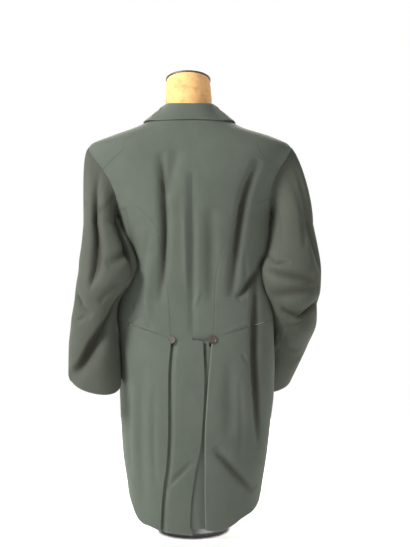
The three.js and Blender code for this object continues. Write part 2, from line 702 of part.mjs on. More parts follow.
// Rows of points from the armhole to the cuff.
function sleevePoints(which) {
  const { name, side } = which;
  const turns = sleeveTurns();
  const firstZ = SLEEVES[name][0].z;
  const cuffZ = SLEEVES[name][SLEEVES[name].length - 1].z;
  const edge = turns.map((turn) => onBody(...armholeEdge(side, turn)));
  const middle = new THREE.Vector3();
  edge.forEach(({ p }) => middle.addScaledVector(p, 1 / edge.length));
  const start = edge.map(({ p, n }, k) => {
    const ahead = edge[(k + 1) % edge.length].p.clone();
    const way = ahead.sub(edge[(k + edge.length - 1) % edge.length].p).cross(n).normalize();
    if (way.dot(middle.clone().sub(p)) < 0) way.negate();
    return p.clone().addScaledVector(way, SEAM);
  });
  const rows = [start];
  const headNormals = edge.map(({ n }) => n);
  for (const u of HEAD_ROWS) {
    rows.push(start.map((p, k) => {
      const turn = turns[k];
      const end = sleeveRing(which, firstZ, turn);
      const top = Math.max(0, Math.sin(radians(turn)));
      const span = end.distanceTo(p);
      const leave = new THREE.Vector3(side * (28 + 46 * top), 0, -20 * (1 - top));
      const arrive = new THREE.Vector3(0, 0, -span * 1.1);
      const [a, b] = [(1 + 2 * u) * (1 - u) ** 2, u * (1 - u) ** 2];
      const [c, d] = [u * u * (3 - 2 * u), u * u * (u - 1)];
      const point = p.clone().multiplyScalar(a).addScaledVector(leave, b);
      return point.addScaledVector(end, c).addScaledVector(arrive, d);
    }));
  }
  for (let i = 1; i <= SLEEVE_ROWS; i += 1) {
    const z = mix(firstZ, cuffZ, i / SLEEVE_ROWS);
    rows.push(turns.map((turn) => sleeveRing(which, z, turn)));
  }
  return { rows, headNormals };
}

// The hind seam runs behind the elbow and the fore seam inside its bend.
const HIND_SEAM = 26;
const FORE_SEAM = 17;

function sleeve(which, part) {
  const { rows, headNormals } = sleevePoints(which);
  const wrapped = rows.map((row) => row.map((p, k) => {
    const before = row[(k + SLEEVE_SIDES - 1) % SLEEVE_SIDES];
    const after = row[(k + 1) % SLEEVE_SIDES];
    return { p, across: after.clone().sub(before) };
  }));
  const nodes = wrapped.map((row, i) => row.map(({ p, across }, k) => {
    const up = wrapped[Math.max(0, i - 1)][k].p;
    const down = wrapped[Math.min(rows.length - 1, i + 1)][k].p;
    const n = across.clone().cross(down.clone().sub(up)).normalize().multiplyScalar(which.side);
    return { p: p.clone(), n: i === 0 ? headNormals[k] : n };
  }));
  const [from, to] = part === 'under' ? [FORE_SEAM, HIND_SEAM] : [HIND_SEAM, FORE_SEAM + SLEEVE_SIDES];
  const grid = nodes.map((row) => {
    const cut = [];
    for (let k = from; k <= to; k += 1) {
      const { p, n } = row[k % SLEEVE_SIDES];
      cut.push({ p: p.clone(), n });
    }
    return cut;
  });
  return wall(trim(grid, SEAM * 0.7));
}

// ---- Collar: a stand that folds over into its fall -------------------------

// Moves a point out until it is clear of the cloth below it.
function clearOfBody(point) {
  const behind = angleAt(point.x, point.z);
  const angle = point.y >= 0 ? behind : Math.sign(behind) * 180 - behind;
  const { p, n } = onBody(angle, point.z);
  const height = point.clone().sub(p).dot(n);
  return height < FALL_CLEARANCE ? point.addScaledVector(n, FALL_CLEARANCE - height) : point;
}

function collarRow(turn) {
  const side = Math.sign(turn) || 1;
  const angle = Math.abs(turn);
  const get = (column) => along(COLLAR, 'angle', column, angle);
  const half = side > 0 ? COLLAR_HALF.left : COLLAR_HALF.right;
  const roll = new THREE.Vector3(side * half * get('rollX'), get('rollY'), get('rollZ'));
  const out = new THREE.Vector3(roll.x / half, roll.y / 60, 0).normalize();
  const neckZ = along(NECK_SEAM, 'angle', 'z', angle);
  const foot = bodyPoint(turn, neckZ);
  const up = bodyPoint(turn, neckZ + 1).sub(bodyPoint(turn, neckZ - 1)).normalize();
  const ridge = 1.8 * smooth(60, 80, angle) * (1 - smooth(118, 135, angle));
  const edge = onBody(side * get(side > 0 ? 'edgeLeft' : 'edgeRight'), get('edgeZ'), FALL_CLEARANCE + ridge);
  const low = foot.clone().addScaledVector(up, 1);
  const inner = roll.clone().addScaledVector(out, -ROLL_RADIUS);
  const outer = clearOfBody(roll.clone().addScaledVector(out, ROLL_RADIUS));
  const crown = roll.clone().add(new THREE.Vector3(0, 0, ROLL_RADIUS));
  const fall = (t) => clearOfBody(outer.clone().lerp(edge.p, t).addScaledVector(edge.n, 5 * t * (1 - t)));
  return [low, low.clone().lerp(inner, 0.55), inner, crown, outer, fall(0.33), fall(0.68), edge.p];
}

function collar() {
  const points = [];
  for (let i = 0; i <= COLLAR_STEPS; i += 1) {
    points.push(collarRow(mix(-COLLAR[COLLAR.length - 1].angle, COLLAR[COLLAR.length - 1].angle, i / COLLAR_STEPS)));
  }
  return wall(withNormals(points, -1));
}

// ---- Lapel: the forepart's turned-back front -------------------------------

const LAPEL_ROWS = 8;
const LAPEL_COLUMNS = 4;

function lapel({ side }) {
  const grid = [];
  for (let i = 0; i <= LAPEL_ROWS; i += 1) {
    const z = mix(LAPEL[0].z, LAPEL[LAPEL.length - 1].z, i / LAPEL_ROWS);
    const rows = [...LAPEL].reverse();
    const inner = along(rows, 'z', 'inner', z);
    const outer = along(rows, 'z', 'outer', z);
    const row = [];
    for (let j = 0; j <= LAPEL_COLUMNS; j += 1) {
      const angle = mix(inner, outer, j / LAPEL_COLUMNS);
      row.push(onBody(side * angle, z, WALL + 0.8));
    }
    grid.push(row);
  }
  return wall(grid);
}

// ---- Back buttons ------------------------------------------------------------

function button(x) {
  const { radius, thickness, rim, seat } = BUTTON;
  const profile = [
    [0, 0], [radius * 0.8, 0], [radius, rim], [radius, thickness - rim],
    [radius - rim, thickness], [radius * 0.62, thickness - 0.7], [0, thickness - 0.2],
  ];
  const geometry = new THREE.LatheGeometry(profile.map(([r, h]) => new THREE.Vector2(r, h)), 16);
  geometry.deleteAttribute('normal');
  geometry.deleteAttribute('uv');
  const { p, n } = onBody(angleAt(x, WAIST), WAIST);
  const turn = new THREE.Quaternion().setFromUnitVectors(new THREE.Vector3(0, 1, 0), n);
  const place = p.addScaledVector(n, seat);
  return { geometry, place, turn };
}

// ---- Dress form ---------------------------------------------------------------

function formRing(z, grow = 0, lift = 0) {
  const get = (column) => along(FORM, 'z', column, z);
  const ring = [];
  for (let k = 0; k < FORM_SIDES; k += 1) {
    const angle = (2 * Math.PI * k) / FORM_SIDES;
    const half = get('half') + grow;
    const depth = (Math.cos(angle) >= 0 ? get('back') : get('front')) + grow;
    const x = get('x') + half * power(Math.sin(angle), get('round'));
    const y = depth * power(Math.cos(angle), get('round'));
    ring.push(new THREE.Vector3(x, y, z + lift));
  }
  return ring;
}

const neckTop = FORM[FORM.length - 1].z;

function tilted(ring, reach) {
  return ring.map((p) => new THREE.Vector3(p.x, p.y, p.z + (NECK_TILT * p.y) / reach));
}

function formBody() {
  const rings = FORM.slice(0, -1).map((row) => formRing(row.z));
  rings.push(tilted(formRing(neckTop), 53));
  return throughRings(rings);
}

function neckPlate() {
  const { thickness, overhang } = NECK_PLATE;
  const low = 0.35;
  return throughRings([
    tilted(formRing(neckTop, overhang - 1, low), 53),
    tilted(formRing(neckTop, overhang, low + 1), 53),
    tilted(formRing(neckTop, overhang, low + thickness - 1), 53),
    tilted(formRing(neckTop, overhang - 1.4, low + thickness), 53),
  ]);
}

function lathe(profile, sides) {
  const geometry = new THREE.LatheGeometry(profile.map(([r, h]) => new THREE.Vector2(r, h)), sides);
  geometry.deleteAttribute('normal');
  geometry.deleteAttribute('uv');
  geometry.rotateX(Math.PI / 2);
  return geometry;
}

const { radius: baseRadius, thickness: baseThickness, hub, hubHeight } = BASE;

// ---- Assembly -----------------------------------------------------------------

for (const which of SIDES) {
  add(`back_${which.name}`, backSolid(which), WOOL);
  add(`forepart_${which.name}`, forepart(which), WOOL);
  add(`skirt_${which.name}`, skirtSolid(which), WOOL);
  add(`sleeve_top_${which.name}`, sleeve(which, 'top'), WOOL);
  add(`sleeve_under_${which.name}`, sleeve(which, 'under'), WOOL);
  add(`lapel_${which.name}`, lapel(which), WOOL);
  const x = SIDE_BACK_SEAM[which.name][SIDE_BACK_SEAM[which.name].length - 1][0];
  const { geometry, place, turn } = button(x);
  const mesh = add(`button_${which.name}`, geometry, HORN);
  mesh.position.copy(place);
  mesh.quaternion.copy(turn);
}

add('collar', collar(), WOOL);
add('form_body', formBody(), LINEN);
add('form_neck_plate', neckPlate(), DARK_WOOD);
add('stand_pole', lathe([
  [0, hubHeight + 0.3], [POLE_RADIUS, hubHeight + 0.3],
  [POLE_RADIUS, FORM[0].z - 0.3], [0, FORM[0].z - 0.3],
], 16), IRON);
add('stand_base', lathe([
  [0, 0], [baseRadius, 0], [baseRadius, baseThickness - 3], [baseRadius - 3, baseThickness],
  [hub + 6, baseThickness + 3], [hub, hubHeight - 4], [hub - 4, hubHeight], [0, hubHeight],
], 32), IRON);

export default tailcoat;
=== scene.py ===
"""A cut-away wool tailcoat, seen from behind, on a limbless linen dress form."""

import math

import bpy
import numpy as np
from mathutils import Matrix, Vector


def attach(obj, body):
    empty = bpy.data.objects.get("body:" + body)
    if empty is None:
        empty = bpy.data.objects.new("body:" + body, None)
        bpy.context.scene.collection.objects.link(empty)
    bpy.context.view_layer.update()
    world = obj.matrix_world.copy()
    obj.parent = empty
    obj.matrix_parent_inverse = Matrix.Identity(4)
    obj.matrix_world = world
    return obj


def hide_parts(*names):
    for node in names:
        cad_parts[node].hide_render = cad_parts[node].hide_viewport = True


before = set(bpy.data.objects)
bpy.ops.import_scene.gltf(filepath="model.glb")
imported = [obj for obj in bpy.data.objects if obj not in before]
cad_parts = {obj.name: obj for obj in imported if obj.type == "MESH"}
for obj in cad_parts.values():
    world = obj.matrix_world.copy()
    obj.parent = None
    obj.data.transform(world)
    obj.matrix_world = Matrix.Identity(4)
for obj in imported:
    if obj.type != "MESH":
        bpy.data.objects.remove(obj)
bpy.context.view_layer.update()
bpy.ops.object.select_all(action="DESELECT")


# ---- Backs ---------------------------------------------------------------
# The two halves of the back are olive grey wool twill, sewn together down the centre
# seam and cut in one with the strips of the tails.  Below the waist the left strip laps
# over the right one, which leaves the vent open.

MM = 0.001
WALL = 2.2  # cloth with its facing and lining, in millimetres as all sizes here
SEAM = 0.4  # gap between two pieces along a seam
LAYER = 0.5  # gap between two layers that lie on each other
SQUARENESS = 0.8  # 1 is an elliptical section of the body, less is squarer
WAIST = 449
NECK_POINT = 38  # angle at which the shoulder seam meets the neck seam
SIDES = (("left", 1), ("right", -1))


def table(names, rows):
    values = np.array(rows, float)
    return {name: values[:, i] for i, name in enumerate(names.split())}


BODY = table(
    "z left right back front",
    [
        (0, 146, 150, 110, 95),
        (60, 148, 155, 112, 98),
        (110, 153, 162, 114, 100),
        (180, 163, 173, 118, 104),
        (250, 168, 181, 120, 106),
        (320, 171, 189, 120, 108),
        (400, 174, 191, 112, 108),
        (449, 176, 189, 101, 106),
        (500, 180, 188, 95, 104),
        (550, 171, 180, 93, 104),
        (580, 160, 174, 93, 106),
        (624, 147.5, 173, 95, 110),
        (654, 149.5, 179, 98, 114),
        (690, 162, 183, 103, 118),
        (723, 171, 182, 107, 120),
        (771, 187, 190, 110, 122),
        (808, 206, 202, 110, 118),
        (836, 224, 214, 107, 112),
        (865, 242, 229, 103, 102),
        (882, 247, 233, 99.5, 95),
        (896, 240, 225, 96, 88),
        (915, 196, 184, 90, 80),
        (934, 142, 122, 83, 72),
        (953, 101, 85, 75, 64),
        (972, 78, 61, 68, 58),
        (991, 62, 45, 62, 54),
    ],
)

# Troughs of the cloth: depth (negative for a ridge), half widths on the two sides of
# the path, and the path by x and z on the back.
BODY_CREASES = [
    (9.6, (10, 11), [(71, 870), (66, 774), (62, 705), (67, 616), (75, 530)]),
    (10.8, (10, 10), [(-150, 856), (-118, 781), (-103, 687), (-90, 583), (-90, 540)]),
    (4.7, (9, 9), [(0, 830), (0, 460)]),
    (6, (14, 14), [(-42, 745), (-42, 530)]),
    (4.8, (13, 13), [(33, 875), (49, 826), (51, 770)]),
    (9.6, (7, 9), [(-166, 636), (-147, 598), (-100, 538)]),
    (10.8, (9, 10), [(-143, 605), (-140, 449), (-141, 349), (-150, 200)]),
    (7.2, (10, 12), [(-47, 210), (-85, 164), (-138, 104)]),
    (4.8, (15, 15), [(-83, 400), (-83, 235)]),
    (-4.8, (11, 11), [(92, 640), (104, 560), (104, 480)]),
    (4.8, (14, 14), [(112, 400), (122, 250), (112, 60)]),
    (5.5, (7, 9), [(160, 745), (145, 700), (135, 655), (121, 600)]),
    # finer ones, which the solids leave out
    (4, (3, 5), [(70, 846), (66, 775), (63, 706), (65, 616), (67, 571)]),
    (4.3, (5, 3), [(-134, 827), (-119, 782), (-110, 735), (-103, 688), (-96, 632)]),
    (-2.5, (6, 6), [(16, 820), (18, 700), (14, 560)]),
    (2.8, (4, 3), [(-148, 598), (-128, 570), (-106, 544)]),
    (4.7, (4, 6), [(-143, 587), (-139, 488), (-137, 396), (-143, 305), (-150, 222)]),
    (3.4, (3, 5), [(-52, 198), (-85, 161), (-112, 128), (-134, 105)]),
    (3.7, (7, 4), [(-2, 178), (14, 161), (58, 117)]),
    (-2.3, (4, 4), [(-17, 558), (-1, 517)]),
    (-2, (3, 3), [(-60, 462), (-101, 475), (-132, 490)]),
    (2.5, (4, 4), [(-112, 418), (-122, 398), (-130, 388)]),
    (2.5, (5, 4), [(122, 497), (134, 491), (150, 480)]),
    (1.9, (6, 5), [(92, 470), (108, 500), (112, 530)]),
    (2.2, (7, 6), [(84, 340), (88, 240), (82, 120)]),
    (2, (6, 8), [(-105, 360), (-112, 250), (-104, 160)]),
    (2.3, (6, 6), [(140, 350), (146, 240), (140, 130)]),
    (1.9, (5, 5), [(96, 700), (104, 660), (112, 600)]),
    (2.2, (6, 5), [(-118, 640), (-124, 590), (-122, 520)]),
]

SIDE_BACK_SEAM = {
    "left": [(131, 751), (95, 720), (80, 694), (71, 655), (61, 600), (52, 520), (47, WAIST)],
    "right": [(-138, 753), (-113, 732), (-92, 704), (-72, 664), (-56, 610), (-50, 530), (-45.5, WAIST)],
}
SHOULDER_SEAM = {
    "left": [(185, 852), (154, 884), (129, 914), (88, 945)],
    "right": [(-180, 846), (-150, 884), (-122, 914), (-74, 945)],
}
NECK_SEAM = table(
    "angle z",
    [(0, 962), (NECK_POINT, 968), (60, 974), (90, 978), (125, 969), (143, 957), (161, 935), (168, 912)],
)
PLEAT_EDGE = {
    "left": table("z x", [(0, 71), (60, 69), (121, 64), (170, 57), (250, 53), (360, 53), (WAIST, 47)]),
    "right": table("z x", [(0, -30), (100, -27), (220, -27), (320, -32), (WAIST, -43)]),
}
VENT_EDGE = {
    "left": table(
        "z x",
        [(0, -5), (40, 5), (80, 3), (130, -3), (170, -10), (200, -17), (250, -22), (360, -27), (447, -24)],
    ),
    "right": table("z x", [(0, 6), (60, 12), (200, 12), (300, 12), (447, 12)]),
}
HEM = {
    "left": table(
        "turn z",
        [(0, 21.5), (0.09, 25), (0.2, 29.5), (0.33, 32), (0.48, 40.5), (0.73, 70), (1, 100)],
    ),
    "right": table(
        "turn z",
        [
            (0, 24),
            (0.1, 20.5),
            (0.24, 27.5),
            (0.33, 35),
            (0.42, 44),
            (0.53, 50.5),
            (0.67, 57),
            (0.86, 73),
            (1, 102),
        ],
    ),
}
STRIP_HEM = {"left": 12.4, "right": 26}  # height of each strip's hem at the vent
CENTRE_ROWS = table("share z", [(0, WAIST), (0.4, 750), (0.6, 808), (1, 962)])
ARMHOLE_CENTRE = 813
ARMHOLE_HALF_HEIGHT = 81
ARMHOLE_HALF_TURN = 25
SHOULDER_AT = 14  # turn of the armhole at which the shoulder seam meets it
UNDERARM_AT = -31  # and the side-back seam
PLEAT_RETURN = 34  # cloth folded back under each pleat
PLEAT_START = WAIST - 40
STRIP_SINK = 1.4
PRESSED_SINK = 5  # how deep the right strip is pressed in beside the top of the vent
PRESSED_AT = -24
PRESSED_HALF_WIDTH = 9
HIDDEN_HEM_RISE = 13  # the folded-under cloth is cut this much shorter than the skirt
ARMHOLE_SHARES = (0.4, 0.2, 0.4)  # of the back's edge: below the armhole, along it, above it


def along(rows, by, name, at):
    """A smooth value of one column at places along another, without overshoot."""
    order = np.argsort(rows[by])
    x, y = rows[by][order], rows[name][order]
    slope = np.diff(y) / np.diff(x)
    product = slope[:-1] * slope[1:]
    total = np.where(product > 0, slope[:-1] + slope[1:], 1)
    middle = np.where(product > 0, 2 * product / total, 0)
    tangent = np.concatenate([slope[:1], middle, slope[-1:]])
    at = np.clip(at, x[0], x[-1])
    k = np.clip(np.searchsorted(x, at) - 1, 0, len(x) - 2)
    h = x[k + 1] - x[k]
    t = (at - x[k]) / h
    start = (1 + 2 * t) * (1 - t) ** 2 * y[k] + t * (1 - t) ** 2 * h * tangent[k]
    return start + t * t * (3 - 2 * t) * y[k + 1] + t * t * (t - 1) * h * tangent[k + 1]


def smooth(low, high, at):
    t = np.clip((np.asarray(at, float) - low) / (high - low), 0, 1)
    return t * t * (3 - 2 * t)


def power(value, exponent):
    return np.sign(value) * np.abs(value) ** exponent


def rounded(path):
    """A path with its corners cut twice, so that a fold has no kink."""
    points = np.array(path, float)
    for _ in range(2):
        early = 0.75 * points[:-1] + 0.25 * points[1:]
        late = 0.25 * points[:-1] + 0.75 * points[1:]
        inside = np.stack([early, late], 1).reshape(-1, 2)[1:-1]
        points = np.vstack([points[:1], inside, points[-1:]])
    return points


def crease_depth(creases, u, v, scale=1.0):
    """How far the creases push the cloth in: deepest halfway along each path."""
    total = np.zeros(np.shape(u))
    for depth, (left, right), path in creases:
        points = rounded(path) * (scale, 1)
        steps = np.diff(points, axis=0)
        lengths = np.concatenate([[0], np.cumsum(np.hypot(steps[:, 0], steps[:, 1]))])
        nearest = np.full(total.shape, np.inf)
        place = np.zeros(total.shape)
        side = np.zeros(total.shape)
        for i, (du, dv) in enumerate(steps):
            across, up = u * scale - points[i, 0], v - points[i, 1]
            t = np.clip((across * du + up * dv) / (du * du + dv * dv), 0, 1)
            away = np.hypot(across - t * du, up - t * dv)
            closer = away < nearest
            nearest = np.where(closer, away, nearest)
            share = (lengths[i] + t * (lengths[i + 1] - lengths[i])) / lengths[-1]
            place = np.where(closer, share, place)
            side = np.where(closer, du * up - dv * across, side)
        width = np.where(side > 0, left, right)
        total += depth * np.sqrt(4 * place * (1 - place)) * np.exp(-((nearest / width) ** 2))
    return total


def half_width(across, z):
    """The body's half width: on the left where across is positive, else on the right."""
    return np.where(across >= 0, along(BODY, "z", "left", z), along(BODY, "z", "right", z))


def body_point(angle, z):
    """The cloth's outer face at angles from the centre back and heights."""
    angle, z = np.broadcast_arrays(np.asarray(angle, float), np.asarray(z, float))
    half = half_width(angle, z)
    behind = np.abs(angle) <= 90
    depth = np.where(behind, along(BODY, "z", "back", z), along(BODY, "z", "front", z))
    x = half * power(np.sin(np.radians(angle)), SQUARENESS)
    y = depth * power(np.cos(np.radians(angle)), SQUARENESS)
    inward = np.stack([x, 2.2 * y], -1)
    inward /= np.maximum(np.linalg.norm(inward, axis=-1, keepdims=True), 1e-9)
    fade = 1 - smooth(84, 100, np.abs(angle))
    push = fade * crease_depth(BODY_CREASES, x, z)
    return np.stack([x - push * inward[..., 0], y - push * inward[..., 1], z], -1)


def unit(vectors):
    return vectors / np.maximum(np.linalg.norm(vectors, axis=-1, keepdims=True), 1e-12)


def on_body(angle, z, raised=0.0):
    """Places on the cloth, raised or sunk, with the normals of its outer face."""
    across = body_point(angle + 0.6, z) - body_point(angle - 0.6, z)
    up = body_point(angle, z + 1.5) - body_point(angle, z - 1.5)
    normal = -unit(np.cross(across, up))
    raised = np.broadcast_to(raised, normal.shape[:-1])
    return body_point(angle, z) + normal * raised[..., None], normal


def angle_at(x, z):
    """The angle at which the back has a given x at a height."""
    share = np.minimum(1, np.abs(x) / half_width(x, z)) ** (1 / SQUARENESS)
    return np.degrees(np.sign(x) * np.arcsin(share))


def armhole_edge(side, turn):
    """The armhole's edge by angle and height: turn 90 is its top, 270 is under the arm."""
    lean = power(np.cos(np.radians(turn)), 0.85)
    angle = side * (90 - ARMHOLE_HALF_TURN * lean)
    z = ARMHOLE_CENTRE + ARMHOLE_HALF_HEIGHT * np.sin(np.radians(turn))
    return np.stack([angle, z], -1)


def spread(steps, near=0.3):
    """Even shares from 0 to 1, with one more line close to each end for a rolled edge."""
    even = np.linspace(0, 1, steps + 1)
    return np.concatenate([[0, near / steps], even[1:-1], [1 - near / steps, 1]])


def back_path(points):
    return [(angle_at(np.float64(x), np.float64(z)), z) for x, z in points]


def resample(path, shares):
    """Points of a path of angle and z, at shares of its length."""
    path = np.array(path, float)
    steps = np.diff(path, axis=0) * (2, 1)
    lengths = np.concatenate([[0], np.cumsum(np.hypot(steps[:, 0], steps[:, 1]))])
    rows = {"at": lengths, "angle": path[:, 0], "z": path[:, 1]}
    at = lengths[-1] * np.asarray(shares)
    return np.stack([along(rows, "at", "angle", at), along(rows, "at", "z", at)], -1)


def shoulder_seam(name, side, shares):
    top = armhole_edge(side, SHOULDER_AT)
    neck = (side * NECK_POINT, along(NECK_SEAM, "angle", "z", np.float64(NECK_POINT)))
    return resample([top, *back_path(SHOULDER_SEAM[name]), neck], shares)


def side_back_seam(name, side, shares):
    under = armhole_edge(side, UNDERARM_AT)
    return resample([under, *back_path(SIDE_BACK_SEAM[name])], shares)


def patch(first, last, start, end, down, across, sharpness=1):
    """Angles and heights between four edges.  A high sharpness keeps an end's bends near it."""
    s, t = down[:, None, None], across[None, :, None]
    rows = (1 - s) * first[None] + s * last[None]
    start_bend = start[:, None] - ((1 - s) * first[None, :1] + s * last[None, :1])
    end_bend = end[:, None] - ((1 - s) * first[None, -1:] + s * last[None, -1:])
    return rows + (1 - t) ** sharpness * start_bend + t**sharpness * end_bend


def trim(points, normals, by=SEAM / 2, edges="first last start end", roll=0.55):
    """Draws edges back by half a seam's gap and rolls them under, as a pressed seam does."""
    moves = np.zeros_like(points)
    sunk = np.zeros(points.shape[:2])
    lines = {
        "first": (np.s_[0, :], np.s_[1, :]),
        "last": (np.s_[-1, :], np.s_[-2, :]),
        "start": (np.s_[:, 0], np.s_[:, 1]),
        "end": (np.s_[:, -1], np.s_[:, -2]),
    }
    for name in edges.split():
        edge, within = lines[name]
        line = points[edge]
        ahead = np.concatenate([line[1:], line[-1:]]) - np.concatenate([line[:1], line[:-1]])
        way = unit(np.cross(ahead, normals[edge]))
        way *= np.sign(np.sum(way * (points[within] - line)))
        moves[edge] += by * way
        sunk[edge] = roll
        sunk[within] = np.maximum(sunk[within], roll * 0.12)
    return points + moves - normals * sunk[..., None], normals


def grid_normals(points, flip=1):
    across = np.gradient(points, axis=1)
    down = np.gradient(points, axis=0)
    return flip * unit(np.cross(across, down))


def placed(mesh):
    """The object of a finished mesh, active and the only one selected."""
    piece = bpy.data.objects.new(mesh.name, mesh)
    bpy.context.scene.collection.objects.link(piece)
    bpy.ops.object.select_all(action="DESELECT")
    piece.select_set(True)
    bpy.context.view_layer.objects.active = piece
    return piece


def wall(name, points, normals, uv, worn, folded):
    """A cloth piece: the points are its outer face, and the inner face lies inside it.
    Its wear along edges and the depth of its folds are kept for the material, which paints shade into the
    folds."""
    rows, columns = points.shape[:2]
    outer = points.reshape(-1, 3)
    inner = (points - normals * WALL).reshape(-1, 3)
    number = np.arange(rows * columns).reshape(rows, columns)
    a, b = number[:-1, :-1].ravel(), number[1:, :-1].ravel()
    c, d = number[1:, 1:].ravel(), number[:-1, 1:].ravel()
    k = rows * columns
    faces = [np.stack([a, b, c, d], 1), np.stack([a, d, c, b], 1) + k]
    rim = np.concatenate([number[:, 0], number[-1, 1:], number[-2::-1, -1], number[0, -2:0:-1]])
    after = np.roll(rim, -1)
    faces.append(np.stack([after, rim, rim + k, after + k], 1))
    faces = np.concatenate(faces)
    every = np.concatenate([outer, inner])
    triangles = np.concatenate([faces[:, [0, 1, 2]], faces[:, [0, 2, 3]]])
    p, q, r = (every[triangles[:, i]] for i in range(3))
    if np.sum(p * np.cross(q, r)) < 0:
        faces = faces[:, ::-1]
    mesh = bpy.data.meshes.new(name)
    mesh.from_pydata((every * MM).tolist(), [], faces.tolist())
    layer = mesh.uv_layers.new(name="UVMap")
    flat = np.concatenate([uv.reshape(-1, 2), uv.reshape(-1, 2) + (0.37, 0.11)])
    corner = np.zeros(len(mesh.loops), int)
    mesh.loops.foreach_get("vertex_index", corner)
    layer.data.foreach_set("uv", flat[corner].ravel())
    for kind, values in (("worn", worn), ("folded", folded)):
        attribute = mesh.attributes.new(kind, "FLOAT", "POINT")
        attribute.data.foreach_set("value", np.concatenate([values.ravel(), values.ravel()]))
    piece = placed(mesh)
    bpy.ops.object.shade_smooth_by_angle(angle=math.radians(50))
    return piece


def edges_worn(points, **edges):
    """Wear from 0 to 1 along the named edges of a grid and none elsewhere."""
    worn = np.zeros(points.shape[:2])
    rows = {"first": np.s_[:2, :], "last": np.s_[-2:, :], "end": np.s_[:, -2:]}
    for name, amount in edges.items():
        worn[rows[name]] = amount
    return worn


def back_fold_shade_mask(points):
    """How deep each place of the back lies in its folds, from 0 to 1: the mask of the painted fold shade.
    """
    depth = crease_depth(BODY_CREASES, points[..., 0], points[..., 2])
    return smooth(1.5, 13, depth) * smooth(0, 30, points[..., 1])


def grain(angle, z):
    """Places on the cut cloth in metres: threads run up the body and round it."""
    return np.stack([np.radians(angle) * 0.16, z * MM], -1)


def tail_sink(name, side, x, z):
    """How far the tail strips lie under each other and under the pleats."""
    lapped = STRIP_SINK if name == "left" else STRIP_SINK + WALL + 2 * LAYER
    centre = lapped * (1 - smooth(WAIST - 2, WAIST + 9, z))
    if name == "right":
        near = np.exp(-(((x - PRESSED_AT) / PRESSED_HALF_WIDTH) ** 2))
        centre = centre + PRESSED_SINK * near * smooth(372, 400, z) * (1 - smooth(436, 452, z))
    folded = 2 * WALL + 2 * LAYER + 0.8
    pleat = np.abs(along(PLEAT_EDGE[name], "z", "x", z))
    under = smooth(0, 1, (side * x - pleat + 16) / 13) * (1 - smooth(WAIST - 12, WAIST - 1, z))
    return centre + (np.maximum(folded, centre) - centre) * under


def back_grid(name, side):
    across = spread(44)
    below, armhole, above = spread(62)[:-1], np.linspace(0, 1, 18)[:-1], spread(56)
    edge = np.concatenate(
        [
            side_back_seam(name, side, 1 - below),
            armhole_edge(side, UNDERARM_AT + (SHOULDER_AT - UNDERARM_AT) * armhole),
            shoulder_seam(name, side, above),
        ]
    )
    low, middle, high = ARMHOLE_SHARES
    share = np.concatenate([low * below, low + middle * armhole, 1 - high + high * above])
    centre = np.stack([0 * share, along(CENTRE_ROWS, "share", "z", share)], -1)
    waist = np.stack([edge[0, 0] * across, np.full(across.shape, WAIST)], -1)
    neck_angle = NECK_POINT * across
    neck = np.stack([side * neck_angle, along(NECK_SEAM, "angle", "z", neck_angle)], -1)
    down = np.linspace(0, 1, len(share))
    upper = patch(waist, neck, centre, edge, down, across)
    top = VENT_EDGE[name]["z"][-1]
    hem = STRIP_HEM[name] + (HEM[name]["z"][0] - STRIP_HEM[name]) * across[None]
    hem = hem + HIDDEN_HEM_RISE * smooth(0.76, 1, across[None])
    z = hem + (top - hem) * spread(112)[:-1, None]
    hidden = PLEAT_RETURN * 0.8 * (1 - smooth(PLEAT_START - 70, PLEAT_START, z))
    hidden += 8 * smooth(PLEAT_START - 70, PLEAT_START, z) * (1 - smooth(WAIST - 20, WAIST - 12, z))
    pleat = along(PLEAT_EDGE[name], "z", "x", z) + side * (hidden - 4)
    vent = along(VENT_EDGE[name], "z", "x", z)
    x = vent + (pleat - vent) * across[None]
    return upper, np.stack([angle_at(x, z), z], -1)


def srgb(code):
    """A hex colour as linear red, green, blue and alpha."""
    values = [int(code[i : i + 2], 16) / 255 for i in (1, 3, 5)]
    return [v / 12.92 if v <= 0.04045 else ((v + 0.055) / 1.055) ** 2.4 for v in values] + [1]


def node(tree, kind, inputs=None, **settings):
    """Adds a node with its settings, and values or links for its inputs."""
    made = tree.nodes.new(kind)
    for name, value in settings.items():
        setattr(made, name, value)
    for name, value in (inputs or {}).items():
        if isinstance(value, bpy.types.NodeSocket):
            tree.links.new(value, made.inputs[name])
        else:
            made.inputs[name].default_value = value
    return made


def new_material(name):
    material = bpy.data.materials.new(name)
    material.use_nodes = True
    tree = material.node_tree
    shader = tree.nodes["Principled BSDF"]
    return material, tree, shader


WAVE_BANDS = 0.314  # a wave's scale for bands one metre apart


